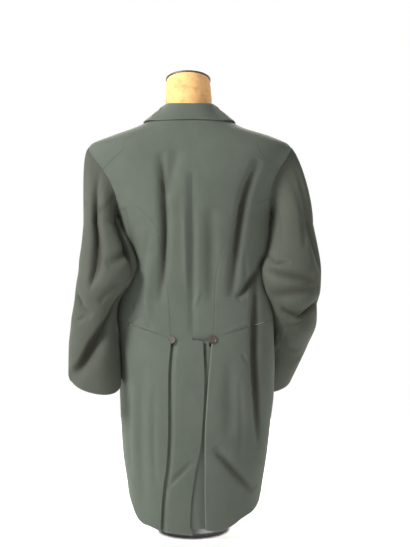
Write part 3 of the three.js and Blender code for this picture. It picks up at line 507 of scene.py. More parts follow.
def wool_twill(name, light, dark, faded, painted_fold_shade):
    """Fulled wool twill: fine diagonal ribs under a short brushed nap, so it looks smooth
    and slightly uneven in tone, with a faint sheen and paler wear along pressed edges.
    Deep in the folds a darker, browner colour is mixed in as painted shade."""
    material, tree, shader = new_material(name)
    grain_map = node(tree, "ShaderNodeUVMap", uv_map="UVMap").outputs["UV"]
    place = node(tree, "ShaderNodeTexCoord").outputs["Object"]
    # cloudy tone from handling and fading, patches about 90 mm wide
    cloud = node(tree, "ShaderNodeTexNoise", {"Vector": place, "Scale": 11, "Detail": 3, "Roughness": 0.55})
    # nap laid by brushing, streaks about 8 mm apart and long up the cloth
    laid = node(tree, "ShaderNodeMapping", {"Vector": grain_map, "Scale": (130, 24, 1)})
    nap = node(tree, "ShaderNodeTexNoise", {"Vector": laid.outputs[0], "Scale": 1, "Detail": 4})
    tone = node(
        tree,
        "ShaderNodeMix",
        {"Factor": cloud.outputs["Fac"], "A": srgb(dark), "B": srgb(light)},
        data_type="RGBA",
    )
    streak = node(
        tree,
        "ShaderNodeMapRange",
        {"Value": nap.outputs["Fac"], "From Min": 0.3, "From Max": 0.7, "To Min": 0.975, "To Max": 1.025},
    )
    toned = node(
        tree,
        "ShaderNodeMix",
        {"Factor": 1.0, "A": tone.outputs["Result"], "B": streak.outputs[0]},
        data_type="RGBA",
        blend_type="MULTIPLY",
    )
    worn = node(tree, "ShaderNodeAttribute", attribute_name="worn")
    rubbed = node(tree, "ShaderNodeMath", {0: worn.outputs["Fac"], 1: 0.4}, operation="MULTIPLY")
    rubbed_colour = node(
        tree,
        "ShaderNodeMix",
        {"Factor": rubbed.outputs[0], "A": toned.outputs["Result"], "B": srgb(faded)},
        data_type="RGBA",
    )
    # painted shade: deep in the folds the colour is mixed towards a dark brown, which stands in for the
    # shadow there
    folded = node(tree, "ShaderNodeAttribute", attribute_name="folded")
    deep = node(tree, "ShaderNodeMath", {0: folded.outputs["Fac"], 1: 0.8}, operation="MULTIPLY")
    colour = node(
        tree,
        "ShaderNodeMix",
        {"Factor": deep.outputs[0], "A": rubbed_colour.outputs["Result"], "B": srgb(painted_fold_shade)},
        data_type="RGBA",
    )
    tree.links.new(colour.outputs["Result"], shader.inputs["Base Color"])
    # twill ribs are 0.9 mm apart on such cloth, drawn 1.4 mm apart so that they can show
    turned = node(tree, "ShaderNodeMapping", {"Vector": grain_map, "Rotation": (0, 0, math.radians(62))})
    ribs = node(
        tree,
        "ShaderNodeTexWave",
        {"Vector": turned.outputs[0], "Scale": WAVE_BANDS / 0.0014, "Distortion": 0.6, "Detail": 1},
    )
    fuzz = node(tree, "ShaderNodeTexNoise", {"Vector": place, "Scale": 620, "Detail": 2})
    slack = node(tree, "ShaderNodeTexNoise", {"Vector": place, "Scale": 46, "Detail": 2, "Roughness": 0.4})
    soft = node(
        tree,
        "ShaderNodeBump",
        {"Height": slack.outputs["Fac"], "Strength": 0.35, "Distance": 0.0022},
    )
    ribbed = node(
        tree,
        "ShaderNodeBump",
        {"Height": ribs.outputs["Fac"], "Normal": soft.outputs[0], "Strength": 0.2, "Distance": 0.0003},
    )
    bump = node(
        tree,
        "ShaderNodeBump",
        {"Height": fuzz.outputs["Fac"], "Normal": ribbed.outputs[0], "Strength": 0.3, "Distance": 0.0004},
    )
    tree.links.new(bump.outputs[0], shader.inputs["Normal"])
    shader.inputs["Roughness"].default_value = 0.78
    shader.inputs["IOR"].default_value = 1.5
    shader.inputs["Specular IOR Level"].default_value = 0.25
    shader.inputs["Sheen Weight"].default_value = 0.16
    shader.inputs["Sheen Roughness"].default_value = 0.45
    shader.inputs["Sheen Tint"].default_value = srgb("#c9cdb8")
    return material


# the last colour of each wool is the painted shade that is mixed into its folds
COAT_WOOL = wool_twill("wool_twill_olive_grey", "#585e55", "#4a5048", "#6e7369", "#2a2720")
# painted shade: the sleeves get a darker, slightly browner copy of the coat's wool, which stands in for the
# shade on them
SLEEVE_WOOL_SHADED = wool_twill("wool_twill_shaded_olive_brown", "#4f534a", "#3f4139", "#5f6358", "#1f1b14")

for name, side in SIDES:
    upper, tail = back_grid(name, side)
    pieces = []
    for grid in (tail, upper):
        angle, z = grid[..., 0], grid[..., 1]
        x = body_point(angle, z)[..., 0]
        pieces.append(on_body(angle, z, -tail_sink(name, side, x, z)))
    tail_points, tail_normals = trim(*pieces[0], by=0.05, edges="first start end", roll=0.4)
    upper_points, upper_normals = trim(*pieces[1], by=0.12, edges="last end", roll=0.4)
    upper_points, upper_normals = trim(upper_points, upper_normals, by=0.02, edges="start", roll=0.05)
    points = np.concatenate([tail_points, upper_points])
    normals = np.concatenate([tail_normals, upper_normals])
    both = np.concatenate([tail, upper])
    worn = edges_worn(points, first=1)
    worn[: len(tail), :2] = 0.8
    uv = grain(both[..., 0], both[..., 1])
    back = wall(f"back_{name}_cloth", points, normals, uv, worn, back_fold_shade_mask(points))
    back.data.materials.append(COAT_WOOL)
    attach(back, "root")
    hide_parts(f"back_{name}")


# ---- Foreparts -----------------------------------------------------------
# Each forepart is one piece of the same twill: it runs from the side-back seam under the
# arm to the cut-away front edge, and over the shoulder to the seam behind it.

WAIST_SEAM = table("turn z", [(0, 492), (0.35, 492), (0.6, 490), (0.82, 476), (0.93, 462), (1, WAIST)])
FRONT_EDGE = table("z angle", [(492, 167), (600, 163), (700, 165), (800, 168), (860, 170), (912, 168)])
FRONT_FOOT, FRONT_TOP = FRONT_EDGE["z"][0], FRONT_EDGE["z"][-1]
ARMHOLE_SWEEP = 360 + UNDERARM_AT - SHOULDER_AT


def waist_seam(name, side, turn):
    """The waist seam from the front edge (turn 0) back to the button (turn 1)."""
    behind = abs(side_back_seam(name, side, [1.0])[0, 0])
    front = FRONT_EDGE["angle"][0]
    shaped = turn**0.85
    angle = side * (front + (behind - front) * shaped)
    return np.stack([angle, along(WAIST_SEAM, "turn", "z", shaped)], -1)


for name, side in SIDES:
    down = spread(96)
    neck, front, waist = spread(56)[:-1], np.linspace(0, 1, 61)[:-1], spread(92)
    neck_angle = NECK_POINT + (FRONT_EDGE["angle"][-1] - NECK_POINT) * neck
    neck_line = np.stack([side * neck_angle, along(NECK_SEAM, "angle", "z", neck_angle)], -1)
    front_z = FRONT_TOP + (FRONT_FOOT - FRONT_TOP) * front
    front_line = np.stack([side * along(FRONT_EDGE, "z", "angle", front_z), front_z], -1)
    outline = np.concatenate([neck_line, front_line, waist_seam(name, side, waist)])
    # neck, front edge and waist seam take 8, 8 and 10 of 26 shares of the outer edge
    across = np.concatenate([8 * neck, 8 + 8 * front, 16 + 10 * waist]) / 26
    armhole = armhole_edge(side, SHOULDER_AT + ARMHOLE_SWEEP * across)
    outline[-1] = side_back_seam(name, side, [1.0])[0]
    edges = (shoulder_seam(name, side, down), side_back_seam(name, side, down))
    grid = patch(armhole, outline, *edges, down, across, sharpness=5)
    angle, z = grid[..., 0], grid[..., 1]
    points, normals = trim(*on_body(angle, z), by=0.1, roll=0.4)
    worn = edges_worn(points)
    # the cut-away front edge
    worn[-2:, 56:116] = 1
    uv = grain(angle, z)
    forepart = wall(f"forepart_{name}_cloth", points, normals, uv, worn, back_fold_shade_mask(points))
    forepart.data.materials.append(COAT_WOOL)
    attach(forepart, "root")
    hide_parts(f"forepart_{name}")


# ---- Skirts of the tails -------------------------------------------------
# Each skirt hangs from the waist seam.  Its back edge is folded under as a pleat that
# lies over the tail strip below the button, and its front edge is cut away in a curve.

SKIRT_FRONT = table("z angle", [(96, 84), (160, 95), (250, 106), (350, 116), (492, 124)])

for name, side in SIDES:
    down, across = spread(120), spread(86)
    # the coarse points of the waist seam that the skirt's top is sewn to
    seam = waist_seam(name, side, np.linspace(1, 0, 11))
    kept = seam[np.abs(seam[:, 0]) < SKIRT_FRONT["angle"][-1] + 1]
    at = 0.15 + (len(kept) - 1.15) * across
    k = np.minimum(len(kept) - 2, at.astype(int))
    top = kept[k] + (kept[k + 1] - kept[k]) * (at - k)[:, None]
    z = top[0, 1] + (HEM[name]["z"][0] - top[0, 1]) * down
    pleat = np.stack([angle_at(along(PLEAT_EDGE[name], "z", "x", z) + side * 2.5, z), z], -1)
    front_z = top[-1, 1] + (HEM[name]["z"][-1] - top[-1, 1]) * down
    leave = smooth(0, 0.25, down)
    swept = along(SKIRT_FRONT, "z", "angle", front_z)
    front = np.stack([side * (abs(top[-1, 0]) * (1 - leave) + swept * leave), front_z], -1)
    pleat[0] = top[0]
    hem_angle = pleat[-1, 0] + (front[-1, 0] - pleat[-1, 0]) * across
    hem = np.stack([hem_angle, along(HEM[name], "turn", "z", across)], -1)
    hem[0], hem[-1] = pleat[-1], front[-1]
    grid = patch(top, hem, pleat, front, down, across)
    angle, z = grid[..., 0], grid[..., 1]
    points, normals = trim(*on_body(angle, z), by=0.12, edges="first last end", roll=0.3)
    radius = WALL + LAYER / 2
    way = unit(points[:, 0] - points[:, 2])
    opening = smooth(0, 0.17, down)
    centre = points[:, 0] - normals[:, 0] * radius
    under_points, under_normals, under_uv = [], [], []
    for share in np.linspace(1, 0.12, 8):
        reach = PLEAT_RETURN * (0.35 + 0.65 * opening) * share
        start_x = body_point(angle[:, 0], z[:, 0])[:, 0]
        inside = angle_at(start_x + side * reach, z[:, 0])
        spot, outward = on_body(inside, z[:, 0], -2 * radius)
        # the folded-under layer is cut to end above the skirt's hem
        spot[:, 2] = points[:, 0, 2] + HIDDEN_HEM_RISE * share * smooth(0.75, 1, down)
        under_points.append(spot)
        under_normals.append(-outward)
        under_uv.append(grain(2 * angle[:, 0] - inside, z[:, 0]))
    for turn in np.radians(np.linspace(180, 22.5, 8)):
        lean = unit(normals[:, 0] * math.cos(turn) + way * math.sin(turn))
        under_points.append(centre + lean * radius)
        under_normals.append(lean)
        under_uv.append(grain(angle[:, 0] - side * np.degrees(turn) * 0.02, z[:, 0]))
    points = np.concatenate([np.stack(under_points, 1), points], 1)
    normals = np.concatenate([np.stack(under_normals, 1), normals], 1)
    uv = np.concatenate([np.stack(under_uv, 1), grain(angle, z)], 1)
    worn = edges_worn(points, last=1, end=1)
    # the pressed fold of the pleat is made paler too
    worn[:, 13:17] = 0.7
    skirt = wall(f"skirt_{name}_cloth", points, normals, uv, worn, back_fold_shade_mask(points))
    skirt.data.materials.append(COAT_WOOL)
    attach(skirt, "root")
    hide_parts(f"skirt_{name}")


# ---- Sleeves -------------------------------------------------------------
# Two-piece sleeves of the same twill, set into the armholes and hanging empty: a top
# sleeve outside and an under sleeve inside, sewn behind the elbow and in its bend.

SLEEVES = {
    "left": table(
        "z x y across depth lean_x lean_y",
        [
            (712, 209, 12, 46, 62, 0, 0),
            (660, 198.5, 41, 58, 58, 0, 0),
            (615, 193.5, 60, 66, 56, 0, 0),
            (573, 204, 62, 61, 56, 0, 0),
            (526, 221.5, 53, 50, 57, 0.05, -0.1),
            (480, 226.5, 52, 52, 55, 0.1, -0.2),
            (425, 225, 56, 58, 52, 0.16, -0.4),
            (359, 223, 64, 60, 45, 0.235, -0.65),
        ],
    ),
    "right": table(
        "z x y across depth lean_x lean_y",
        [
            (712, 228.5, 12, 51.5, 62, 0, 0),
            (655, 231, 27, 59, 60, 0, 0),
            (602, 226.5, 42, 68.5, 58, 0, 0),
            (561, 230, 38, 64, 59, 0, 0),
            (520, 235.5, 15, 53, 58, 0, -0.1),
            (478, 239.5, -20, 52, 55, 0.05, -0.2),
            (428, 228, -68, 50, 50, 0.1, -0.35),
            (330, 194, -124, 48, 45, 0.22, -0.5),
        ],
    ),
}
# The same kind of list as the body's, by angle round the sleeve (0 behind, 90 outside).
SLEEVE_MM_PER_DEGREE = 1.05
SLEEVE_CREASES = {
    "left": [
        (12, (12, 12), [(15, 770), (14, 700), (14, 640), (18, 570)]),
        (13, (14, 10), [(-46, 770), (-52, 700), (-60, 640), (-76, 590)]),
        (8, (9, 9), [(-30, 800), (-20, 760), (10, 735)]),
        (17, (9, 17), [(-80, 575), (-66, 524), (-9, 458), (24, 397), (66, 372)]),
        (7.8, (10, 10), [(60, 545), (30, 520), (0, 508)]),
        (7.8, (12, 12), [(-70, 655), (-25, 628), (0, 618)]),
        (6.8, (6, 4), [(16, 740), (14, 690), (20, 640), (24, 590), (14, 560)]),
        (5.1, (5, 5), [(68, 560), (44, 536), (30, 530)]),
        (5.1, (5, 5), [(62, 500), (40, 492), (14, 505)]),
        (4.2, (6, 6), [(40, 850), (36, 830), (20, 812)]),
        (5.1, (7, 7), [(-40, 580), (-20, 560), (-12, 535)]),
        (4.2, (8, 8), [(120, 640), (110, 560), (100, 500)]),
        (4.2, (8, 8), [(160, 560), (190, 520), (215, 500)]),
    ],
    "right": [
        (9.1, (11, 11), [(-70, 606), (0, 590), (52, 582)]),
        (9.1, (13, 13), [(-70, 548), (0, 556), (60, 566)]),
        (14.3, (8, 9), [(85, 536), (30, 512), (0, 500), (-40, 520)]),
        (9.1, (11, 11), [(50, 505), (5, 474), (-30, 478)]),
        (6.5, (12, 12), [(-40, 438), (10, 412), (40, 402)]),
        (8.5, (4, 6), [(80, 534), (40, 518), (0, 502)]),
        (8, (9, 12), [(36, 770), (44, 700), (56, 640), (70, 600)]),
        (6.8, (6, 4), [(-74, 640), (-40, 618), (-5, 622)]),
        (5.1, (5, 5), [(60, 516), (30, 486), (0, 480)]),
        (4.2, (6, 6), [(-50, 460), (-10, 440), (26, 428)]),
        (4.2, (9, 9), [(20, 760), (26, 700), (20, 650)]),
        (4.2, (8, 8), [(120, 640), (110, 560), (100, 500)]),
    ],
}
SLEEVE_RADIUS = 60
SHARES_ROUND = 30  # counted round the sleeve, from the shoulder seam over its top
HIND_SEAM = 26
FORE_SEAM = 17


def sleeve_turn(share):
    """The turn round the armhole at shares round the sleeve."""
    share = share % SHARES_ROUND
    over = SHOULDER_AT + ARMHOLE_SWEEP * share / HIND_SEAM
    past = (SHOULDER_AT - UNDERARM_AT) * (share - HIND_SEAM) / (SHARES_ROUND - HIND_SEAM)
    return np.where(share <= HIND_SEAM, over, 360 + UNDERARM_AT + past)


def sleeve_depth(name, turn, z):
    """Depth of a sleeve's creases, with angles counted both ways from behind."""
    signed = (turn + 180) % 360 - 180
    return crease_depth(SLEEVE_CREASES[name], signed, z, SLEEVE_MM_PER_DEGREE)


def sleeve_ring(name, side, z, turn):
    rows = SLEEVES[name]
    out = power(np.sin(np.radians(turn)), 0.9)
    behind = power(np.cos(np.radians(turn)), 0.9)
    shrink = 1 - sleeve_depth(name, turn, z) / SLEEVE_RADIUS
    dx = along(rows, "z", "across", z) * out * shrink
    dy = along(rows, "z", "depth", z) * behind * shrink
    lean = along(rows, "z", "lean_x", z) * dx + along(rows, "z", "lean_y", z) * dy
    x, y = along(rows, "z", "x", z) + dx, along(rows, "z", "y", z) + dy
    return np.stack([side * x, y, z + lean], -1)


def sleeve_grid(name, side, share):
    """Points from the armhole to the cuff, at shares round the sleeve."""
    turn = sleeve_turn(share)
    whole = sleeve_turn(np.linspace(0, SHARES_ROUND, 121)[:-1])
    middle = on_body(*armhole_edge(side, whole).T)[0].mean(0)
    edge, outward = on_body(*armhole_edge(side, turn).T)
    way = unit(np.cross(np.gradient(edge, axis=0), outward))
    way *= np.sign(np.sum(way * (middle - edge), -1, keepdims=True))
    start = edge + 0.15 * way
    first, cuff = SLEEVES[name]["z"][0], SLEEVES[name]["z"][-1]
    end = sleeve_ring(name, side, np.full(turn.shape, first), turn)
    top = np.maximum(0, np.sin(np.radians(turn)))
    leave = np.stack([side * (28 + 26 * top), 0 * top, -20 - 14 * top], -1)
    span = np.linalg.norm(end - start, axis=-1)
    arrive = np.stack([0 * span, 0 * span, -span * 1.1], -1)
    u = np.concatenate([[0, 0.012], np.linspace(0, 1, 31)[1:]])[:, None, None]
    head = (1 + 2 * u) * (1 - u) ** 2 * start + u * (1 - u) ** 2 * leave
    head = head + u * u * (3 - 2 * u) * end + u * u * (u - 1) * arrive
    z = first + (cuff - first) * spread(100)[2:]
    arm = sleeve_ring(name, side, *np.broadcast_arrays(z[:, None], turn[None]))
    return np.concatenate([head, arm]), outward, turn


for name, side in SIDES:
    parts = (
        ("top", HIND_SEAM, FORE_SEAM + SHARES_ROUND, 104, 0.3),
        ("under", FORE_SEAM, HIND_SEAM, 48, 0.16),
    )
    for part, first, last, steps, width in parts:
        points, head_normals, turn = sleeve_grid(name, side, first + (last - first) * spread(steps))
        normals = grid_normals(points, side)
        blend = smooth(0, 4, np.arange(len(points)))[:, None, None]
        normals = unit(normals * blend + head_normals * (1 - blend))
        points, normals = trim(points, normals, by=0.08, roll=0.3)
        run = np.concatenate([[0], np.cumsum(np.linalg.norm(np.diff(points[:, 0], axis=0), axis=-1))])
        uv = np.stack(np.broadcast_arrays(turn[None] * SLEEVE_MM_PER_DEGREE * MM, -run[:, None] * MM), -1)
        # the depth of the sleeve's creases also sets its painted fold shade
        depth = sleeve_depth(name, *np.broadcast_arrays(turn[None], points[..., 2]))
        worn = edges_worn(points, last=1)
        sleeve = wall(f"sleeve_{part}_{name}_cloth", points, normals, uv, worn, smooth(2, 15, depth))
        sleeve.data.materials.append(SLEEVE_WOOL_SHADED)
        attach(sleeve, "root")
        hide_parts(f"sleeve_{part}_{name}")


# ---- Collar --------------------------------------------------------------
# The collar is twill over a stiff canvas: it stands up round the neck and folds over, so
# that its fall lies on the back and shoulders.

COLLAR = table(
    "angle roll_x roll_y roll_z edge_z edge_left edge_right",
    [
        (0, 0, 63, 982, 945, 0, 0),
        (30, 0.5, 56, 983, 944.5, 12, 13),
        (52, 0.78, 40, 985, 944, 24, 26),
        (72, 0.94, 22, 987, 944.5, 44, 47),
        (90, 1, 0, 987, 946, 74, 76),
        (112, 1, -24, 985, 942, 125, 125),
        (132, 0.99, -46, 974, 926, 149, 149),
        (150, 0.96, -64, 958, 913, 155, 155),
        (160, 0.92, -75, 945, 909, 156.5, 156.5),
    ],
)
COLLAR_HALF = {1: 65, -1: 47}
FALL_CLEARANCE = WALL + 1.2
ROLL_RADIUS = 2.9
ROLL_DEPTH = 60  # of the roll's oval round the neck, from front to back
SHOULDER_RIDGE = 1.8  # how much further the fall stands off over the shoulders


def clear_of_body(points):
    """Moves points out until they are clear of the cloth below them."""
    behind = angle_at(points[..., 0], points[..., 2])
    angle = np.where(points[..., 1] >= 0, behind, np.sign(behind) * 180 - behind)
    below, outward = on_body(angle, points[..., 2])
    height = np.sum((points - below) * outward, -1, keepdims=True)
    return points + outward * np.maximum(0, FALL_CLEARANCE - height)


def through(points, shares):
    """A smooth curve through each column of points, at shares of the way."""
    count = len(points) - 1
    at = np.clip(shares * count, 0, count - 1e-9)
    k = at.astype(int)
    t = (at - k)[:, None, None]
    p0, p1 = points[np.maximum(k - 1, 0)], points[k]
    p2, p3 = points[k + 1], points[np.minimum(k + 2, count)]
    straight = 2 * p1 + (p2 - p0) * t
    bent = (2 * p0 - 5 * p1 + 4 * p2 - p3) * t**2
    return 0.5 * (straight + bent + (3 * p1 - p0 - 3 * p2 + p3) * t**3)


turn = -160 + 320 * spread(150)
side = np.where(turn < 0, -1.0, 1.0)
angle = np.abs(turn)
half = np.where(side > 0, COLLAR_HALF[1], COLLAR_HALF[-1])
column = {key: along(COLLAR, "angle", key, angle) for key in COLLAR}
roll = np.stack([side * half * column["roll_x"], column["roll_y"], column["roll_z"]], -1)
out = unit(np.stack([roll[:, 0] / half, roll[:, 1] / ROLL_DEPTH, 0 * half], -1))
neck_z = along(NECK_SEAM, "angle", "z", angle)
foot = body_point(turn, neck_z)
rise = unit(body_point(turn, neck_z + 1) - body_point(turn, neck_z - 1))
ridge = SHOULDER_RIDGE * smooth(60, 80, angle) * (1 - smooth(118, 135, angle))
edge_angle = np.where(side > 0, column["edge_left"], column["edge_right"])
edge, edge_normal = on_body(side * edge_angle, column["edge_z"], FALL_CLEARANCE + ridge)
low = foot + rise
inner = roll - out * ROLL_RADIUS
outer = clear_of_body(roll + out * ROLL_RADIUS)
crown = roll + (0, 0, ROLL_RADIUS)
falls = [clear_of_body(outer * (1 - t) + edge * t + edge_normal * 5 * t * (1 - t)) for t in (0.33, 0.68)]
frame_points = np.stack([low, low * 0.45 + inner * 0.55, inner, crown, outer, *falls, edge])
points = through(frame_points, spread(34)).transpose(1, 0, 2)
normals = grid_normals(points, -1)
points, normals = trim(points, normals, by=0, edges="first last end", roll=0.5)
run = np.cumsum(np.linalg.norm(np.diff(points[len(points) // 2], axis=0), axis=-1))
uv = np.stack(np.broadcast_arrays(turn[:, None] * 1.3 * MM, np.concatenate([[0], run])[None] * MM), -1)
worn = edges_worn(points, end=0.6)
collar = wall("collar_cloth", points, normals, uv, worn, 0 * worn)
collar.data.materials.append(COAT_WOOL)
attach(collar, "root")
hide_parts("collar")


# ---- Lapels --------------------------------------------------------------
# Short lapels of the same twill, turned back from the cut-away front edges and pressed
# flat on the foreparts.

LAPEL = table(
    "z inner outer",
    [
        (902, 168.5, 156),
        (875, 169.5, 153),
        (840, 169.5, 154),
        (790, 167.5, 155),
        (740, 166, 158),
        (700, 165, 163),
    ],
)
LAPEL_TOP, LAPEL_FOOT = LAPEL["z"][0], LAPEL["z"][-1]

for name, side in SIDES:
    z = (LAPEL_TOP + (LAPEL_FOOT - LAPEL_TOP) * spread(50))[:, None]
    inner, outer = along(LAPEL, "z", "inner", z), along(LAPEL, "z", "outer", z)
    angle = side * (inner + (outer - inner) * spread(16)[None])
    z = np.broadcast_to(z, angle.shape)
    points, normals = trim(*on_body(angle, z, WALL + 0.8), by=0, roll=0.5)
    worn = edges_worn(points, end=0.6)
    lapel = wall(f"lapel_{name}_cloth", points, normals, grain(angle, z), worn, 0 * worn)
    lapel.data.materials.append(COAT_WOOL)
    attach(lapel, "root")
    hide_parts(f"lapel_{name}")


# ---- Waist buttons -------------------------------------------------------
# Two turned horn buttons, sewn on where the side-back seams meet the waist: a rounded
# rim round a shallow dished face.

BUTTON_RADIUS = 9
BUTTON_HEIGHT = 4.4
BUTTON_SEAT = 0.55  # how far the button's middle stands off the cloth


def polished_horn(name, light, dark, roughness):
    """Horn turned on a lathe: streaky brown with a soft polish that is dulled by handling."""
    material, tree, shader = new_material(name)
    place = node(tree, "ShaderNodeTexCoord").outputs["Object"]
    # growth layers of the horn, about 2 mm wide
    streaks = node(
        tree,
        "ShaderNodeTexNoise",
        {"Vector": place, "Scale": 420, "Detail": 3, "Distortion": 1.5},
    )
    colour = node(
        tree,
        "ShaderNodeMix",
        {"Factor": streaks.outputs["Fac"], "A": srgb(dark), "B": srgb(light)},
        data_type="RGBA",
    )
    tree.links.new(colour.outputs["Result"], shader.inputs["Base Color"])
    scuffs = node(tree, "ShaderNodeTexNoise", {"Vector": place, "Scale": 1500, "Detail": 2})
    bump = node(
        tree,
        "ShaderNodeBump",
        {"Height": scuffs.outputs["Fac"], "Strength": 0.2, "Distance": 0.0001},
    )
    tree.links.new(bump.outputs[0], shader.inputs["Normal"])
    shader.inputs["Roughness"].default_value = roughness
    shader.inputs["IOR"].default_value = 1.54
    return material


def edit_select(piece, test):
    """Selects the faces whose centre and normal pass a test, in edit mode."""
    bpy.ops.object.mode_set(mode="OBJECT")
    for part in (piece.data.vertices, piece.data.edges, piece.data.polygons):
        part.foreach_set("select", np.zeros(len(part), bool))
    for face in piece.data.polygons:
        face.select = bool(test(face.center, face.normal))
    bpy.ops.object.mode_set(mode="EDIT")
    bpy.ops.mesh.select_mode(type="FACE")


def eased(piece, width, segments, sharpest=50):
    """Rounds a turned piece's edges and shades it smooth."""
    bevel = piece.modifiers.new("eased_edge", "BEVEL")
    bevel.width = width * MM
    bevel.segments = segments
    bevel.limit_method = "ANGLE"
    bevel.angle_limit = math.radians(sharpest)
    bpy.ops.object.modifier_apply(modifier=bevel.name)
    bpy.ops.object.shade_smooth_by_angle(angle=math.radians(40))


# painted light and shade: the pair's horn is coloured lighter and greyer on the lit left button and darker
# on the shaded right one, which is also glossier
HORN = {
    "left": polished_horn("grey_horn_painted_lit", "#5f5a51", "#45413a", 0.45),
    "right": polished_horn("dark_horn_painted_shade", "#4a413a", "#342c27", 0.3),
}

for name, side in SIDES:
    bpy.ops.object.select_all(action="DESELECT")
    bpy.ops.mesh.primitive_cylinder_add(
        vertices=40,
        radius=BUTTON_RADIUS * MM,
        depth=BUTTON_HEIGHT * MM,
        location=(0, 0, BUTTON_HEIGHT * MM / 2),
    )
    button = bpy.context.object
    button.name = f"button_{name}_horn"
    edit_select(button, lambda centre, normal: normal.z > 0.9)
    bpy.ops.mesh.inset(thickness=2.2 * MM)
    bpy.ops.mesh.inset(thickness=0.7 * MM, depth=-0.75 * MM)
    bpy.ops.mesh.inset(thickness=3.2 * MM, depth=0.35 * MM)
    edit_select(button, lambda centre, normal: normal.z < -0.9)
    bpy.ops.mesh.inset(thickness=1.8 * MM, depth=-0.4 * MM)
    bpy.ops.object.mode_set(mode="OBJECT")
    eased(button, width=0.9, segments=4)
    x = np.float64(SIDE_BACK_SEAM[name][-1][0])
    spot, outward = on_body(angle_at(x, np.float64(WAIST)), np.float64(WAIST), BUTTON_SEAT)
    button.rotation_mode = "QUATERNION"
    button.rotation_quaternion = Vector(outward).to_track_quat("Z", "Y")
    button.location = spot * MM
    bpy.ops.object.transform_apply(location=True, rotation=True, scale=True)
    button.data.materials.append(HORN[name])
    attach(button, "root")
    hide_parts(f"button_{name}")


# ---- Dress form ----------------------------------------------------------
# A limbless form of papier mache, padded and covered with cream linen that has yellowed
# and spotted with age.

FORM = table(
    "z x half back front round",
    [
        (300, -6, 96, 56, 56, 1),
        (312, -6, 122, 74, 74, 0.95),
        (360, -6, 138, 84, 84, 0.9),
        (449, -8, 140, 78, 88, 0.9),
        (540, -10, 122, 72, 88, 0.9),
        (620, -12, 104, 74, 92, 0.9),
        (690, -6, 122, 82, 98, 0.88),
        (771, 0, 152, 90, 102, 0.85),
        (836, 4, 176, 90, 94, 0.82),
        (880, 6, 188, 84, 80, 0.82),
        (902, 7, 184, 78, 68, 0.82),
        (915, 8, 168, 75, 62, 0.82),
        (934, 9.5, 119, 69, 56, 0.82),
        (953, 8, 82, 62, 50, 0.85),
        (968, 9, 62, 57, 48, 0.9),
        (984, 9.3, 51, 54, 48, 1),
        (1000, 10.4, 54.5, 53, 49, 1),
        (1025, 11, 53.3, 53, 49, 1),
        (1048.5, 11.3, 50.8, 52, 48, 1),
    ],
)
FORM_SIDES = 120
NECK_TILT = 10.4  # rise of the neck's top at the back
NECK_REACH = 53


def form_ring(z):
    angle = np.linspace(0, 2 * math.pi, FORM_SIDES, endpoint=False)
    column = {key: along(FORM, "z", key, np.float64(z)) for key in FORM}
    depth = np.where(np.cos(angle) >= 0, column["back"], column["front"])
    x = column["x"] + column["half"] * power(np.sin(angle), column["round"])
    y = depth * power(np.cos(angle), column["round"])
    return np.stack([x, y, np.full(angle.shape, float(z))], -1)


def aged_linen(name):
    """Plain-weave linen stretched over padding: cream with painted light and shade, paler on the
    lit left side and darker and more tan on the shaded right; mottled by damp, with one small brown spot
    and a visible thread."""
    material, tree, shader = new_material(name)
    place = node(tree, "ShaderNodeTexCoord").outputs["Object"]
    split = node(tree, "ShaderNodeSeparateXYZ", {"Vector": place})
    # painted light and shade: the linen is paler on the lit left side (+x) and darker and more tan on the
    # shaded right
    turn = node(
        tree,
        "ShaderNodeMapRange",
        {"Value": split.outputs["X"], "From Min": 0.05, "From Max": -0.04},
        interpolation_type="SMOOTHSTEP",
    )
    lit_and_shaded_sides = node(
        tree,
        "ShaderNodeMix",
        {"Factor": turn.outputs[0], "A": srgb("#ecc078"), "B": srgb("#e8b277")},
        data_type="RGBA",
    )
    blot = node(tree, "ShaderNodeTexNoise", {"Vector": place, "Scale": 55, "Detail": 5, "Roughness": 0.65})
    stain = node(
        tree,
        "ShaderNodeMapRange",
        {"Value": blot.outputs["Fac"], "From Min": 0.48, "From Max": 0.72},
    )
    mottled = node(
        tree,
        "ShaderNodeMix",
        {"Factor": stain.outputs[0], "A": lit_and_shaded_sides.outputs["Result"], "B": srgb("#cf9558")},
        data_type="RGBA",
    )
    # one old spot, 4 mm across, on the right of the neck
    far = node(tree, "ShaderNodeVectorMath", {0: place, 1: (-0.031, 0.042, 1.001)}, operation="DISTANCE")
    spot = node(
        tree,
        "ShaderNodeMapRange",
        {"Value": far.outputs["Value"], "From Min": 0.0022, "From Max": 0.0042, "To Min": 1, "To Max": 0},
    )
    spotted = node(
        tree,
        "ShaderNodeMix",
        {"Factor": spot.outputs[0], "A": mottled.outputs["Result"], "B": srgb("#7d4a25")},
        data_type="RGBA",
    )
    tree.links.new(spotted.outputs["Result"], shader.inputs["Base Color"])
    # threads 0.7 mm apart, drawn 1.6 mm apart so that they can show
    height = None
    for direction in ("X", "Z"):
        threads = node(
            tree,
            "ShaderNodeTexWave",
            {"Vector": place, "Scale": WAVE_BANDS / 0.0016, "Distortion": 0.8, "Detail": 1},
            bands_direction=direction,
        )
        inputs = {"Height": threads.outputs["Fac"], "Strength": 0.2, "Distance": 0.0003}
        if height is not None:
            inputs["Normal"] = height
        height = node(tree, "ShaderNodeBump", inputs).outputs[0]
    dent = node(
        tree,
        "ShaderNodeBump",
        {"Height": blot.outputs["Fac"], "Normal": height, "Strength": 0.3, "Distance": 0.002},
    )
    tree.links.new(dent.outputs[0], shader.inputs["Normal"])
    shader.inputs["Roughness"].default_value = 0.85
    shader.inputs["Sheen Weight"].default_value = 0.1
    shader.inputs["Sheen Roughness"].default_value = 0.5
    return material


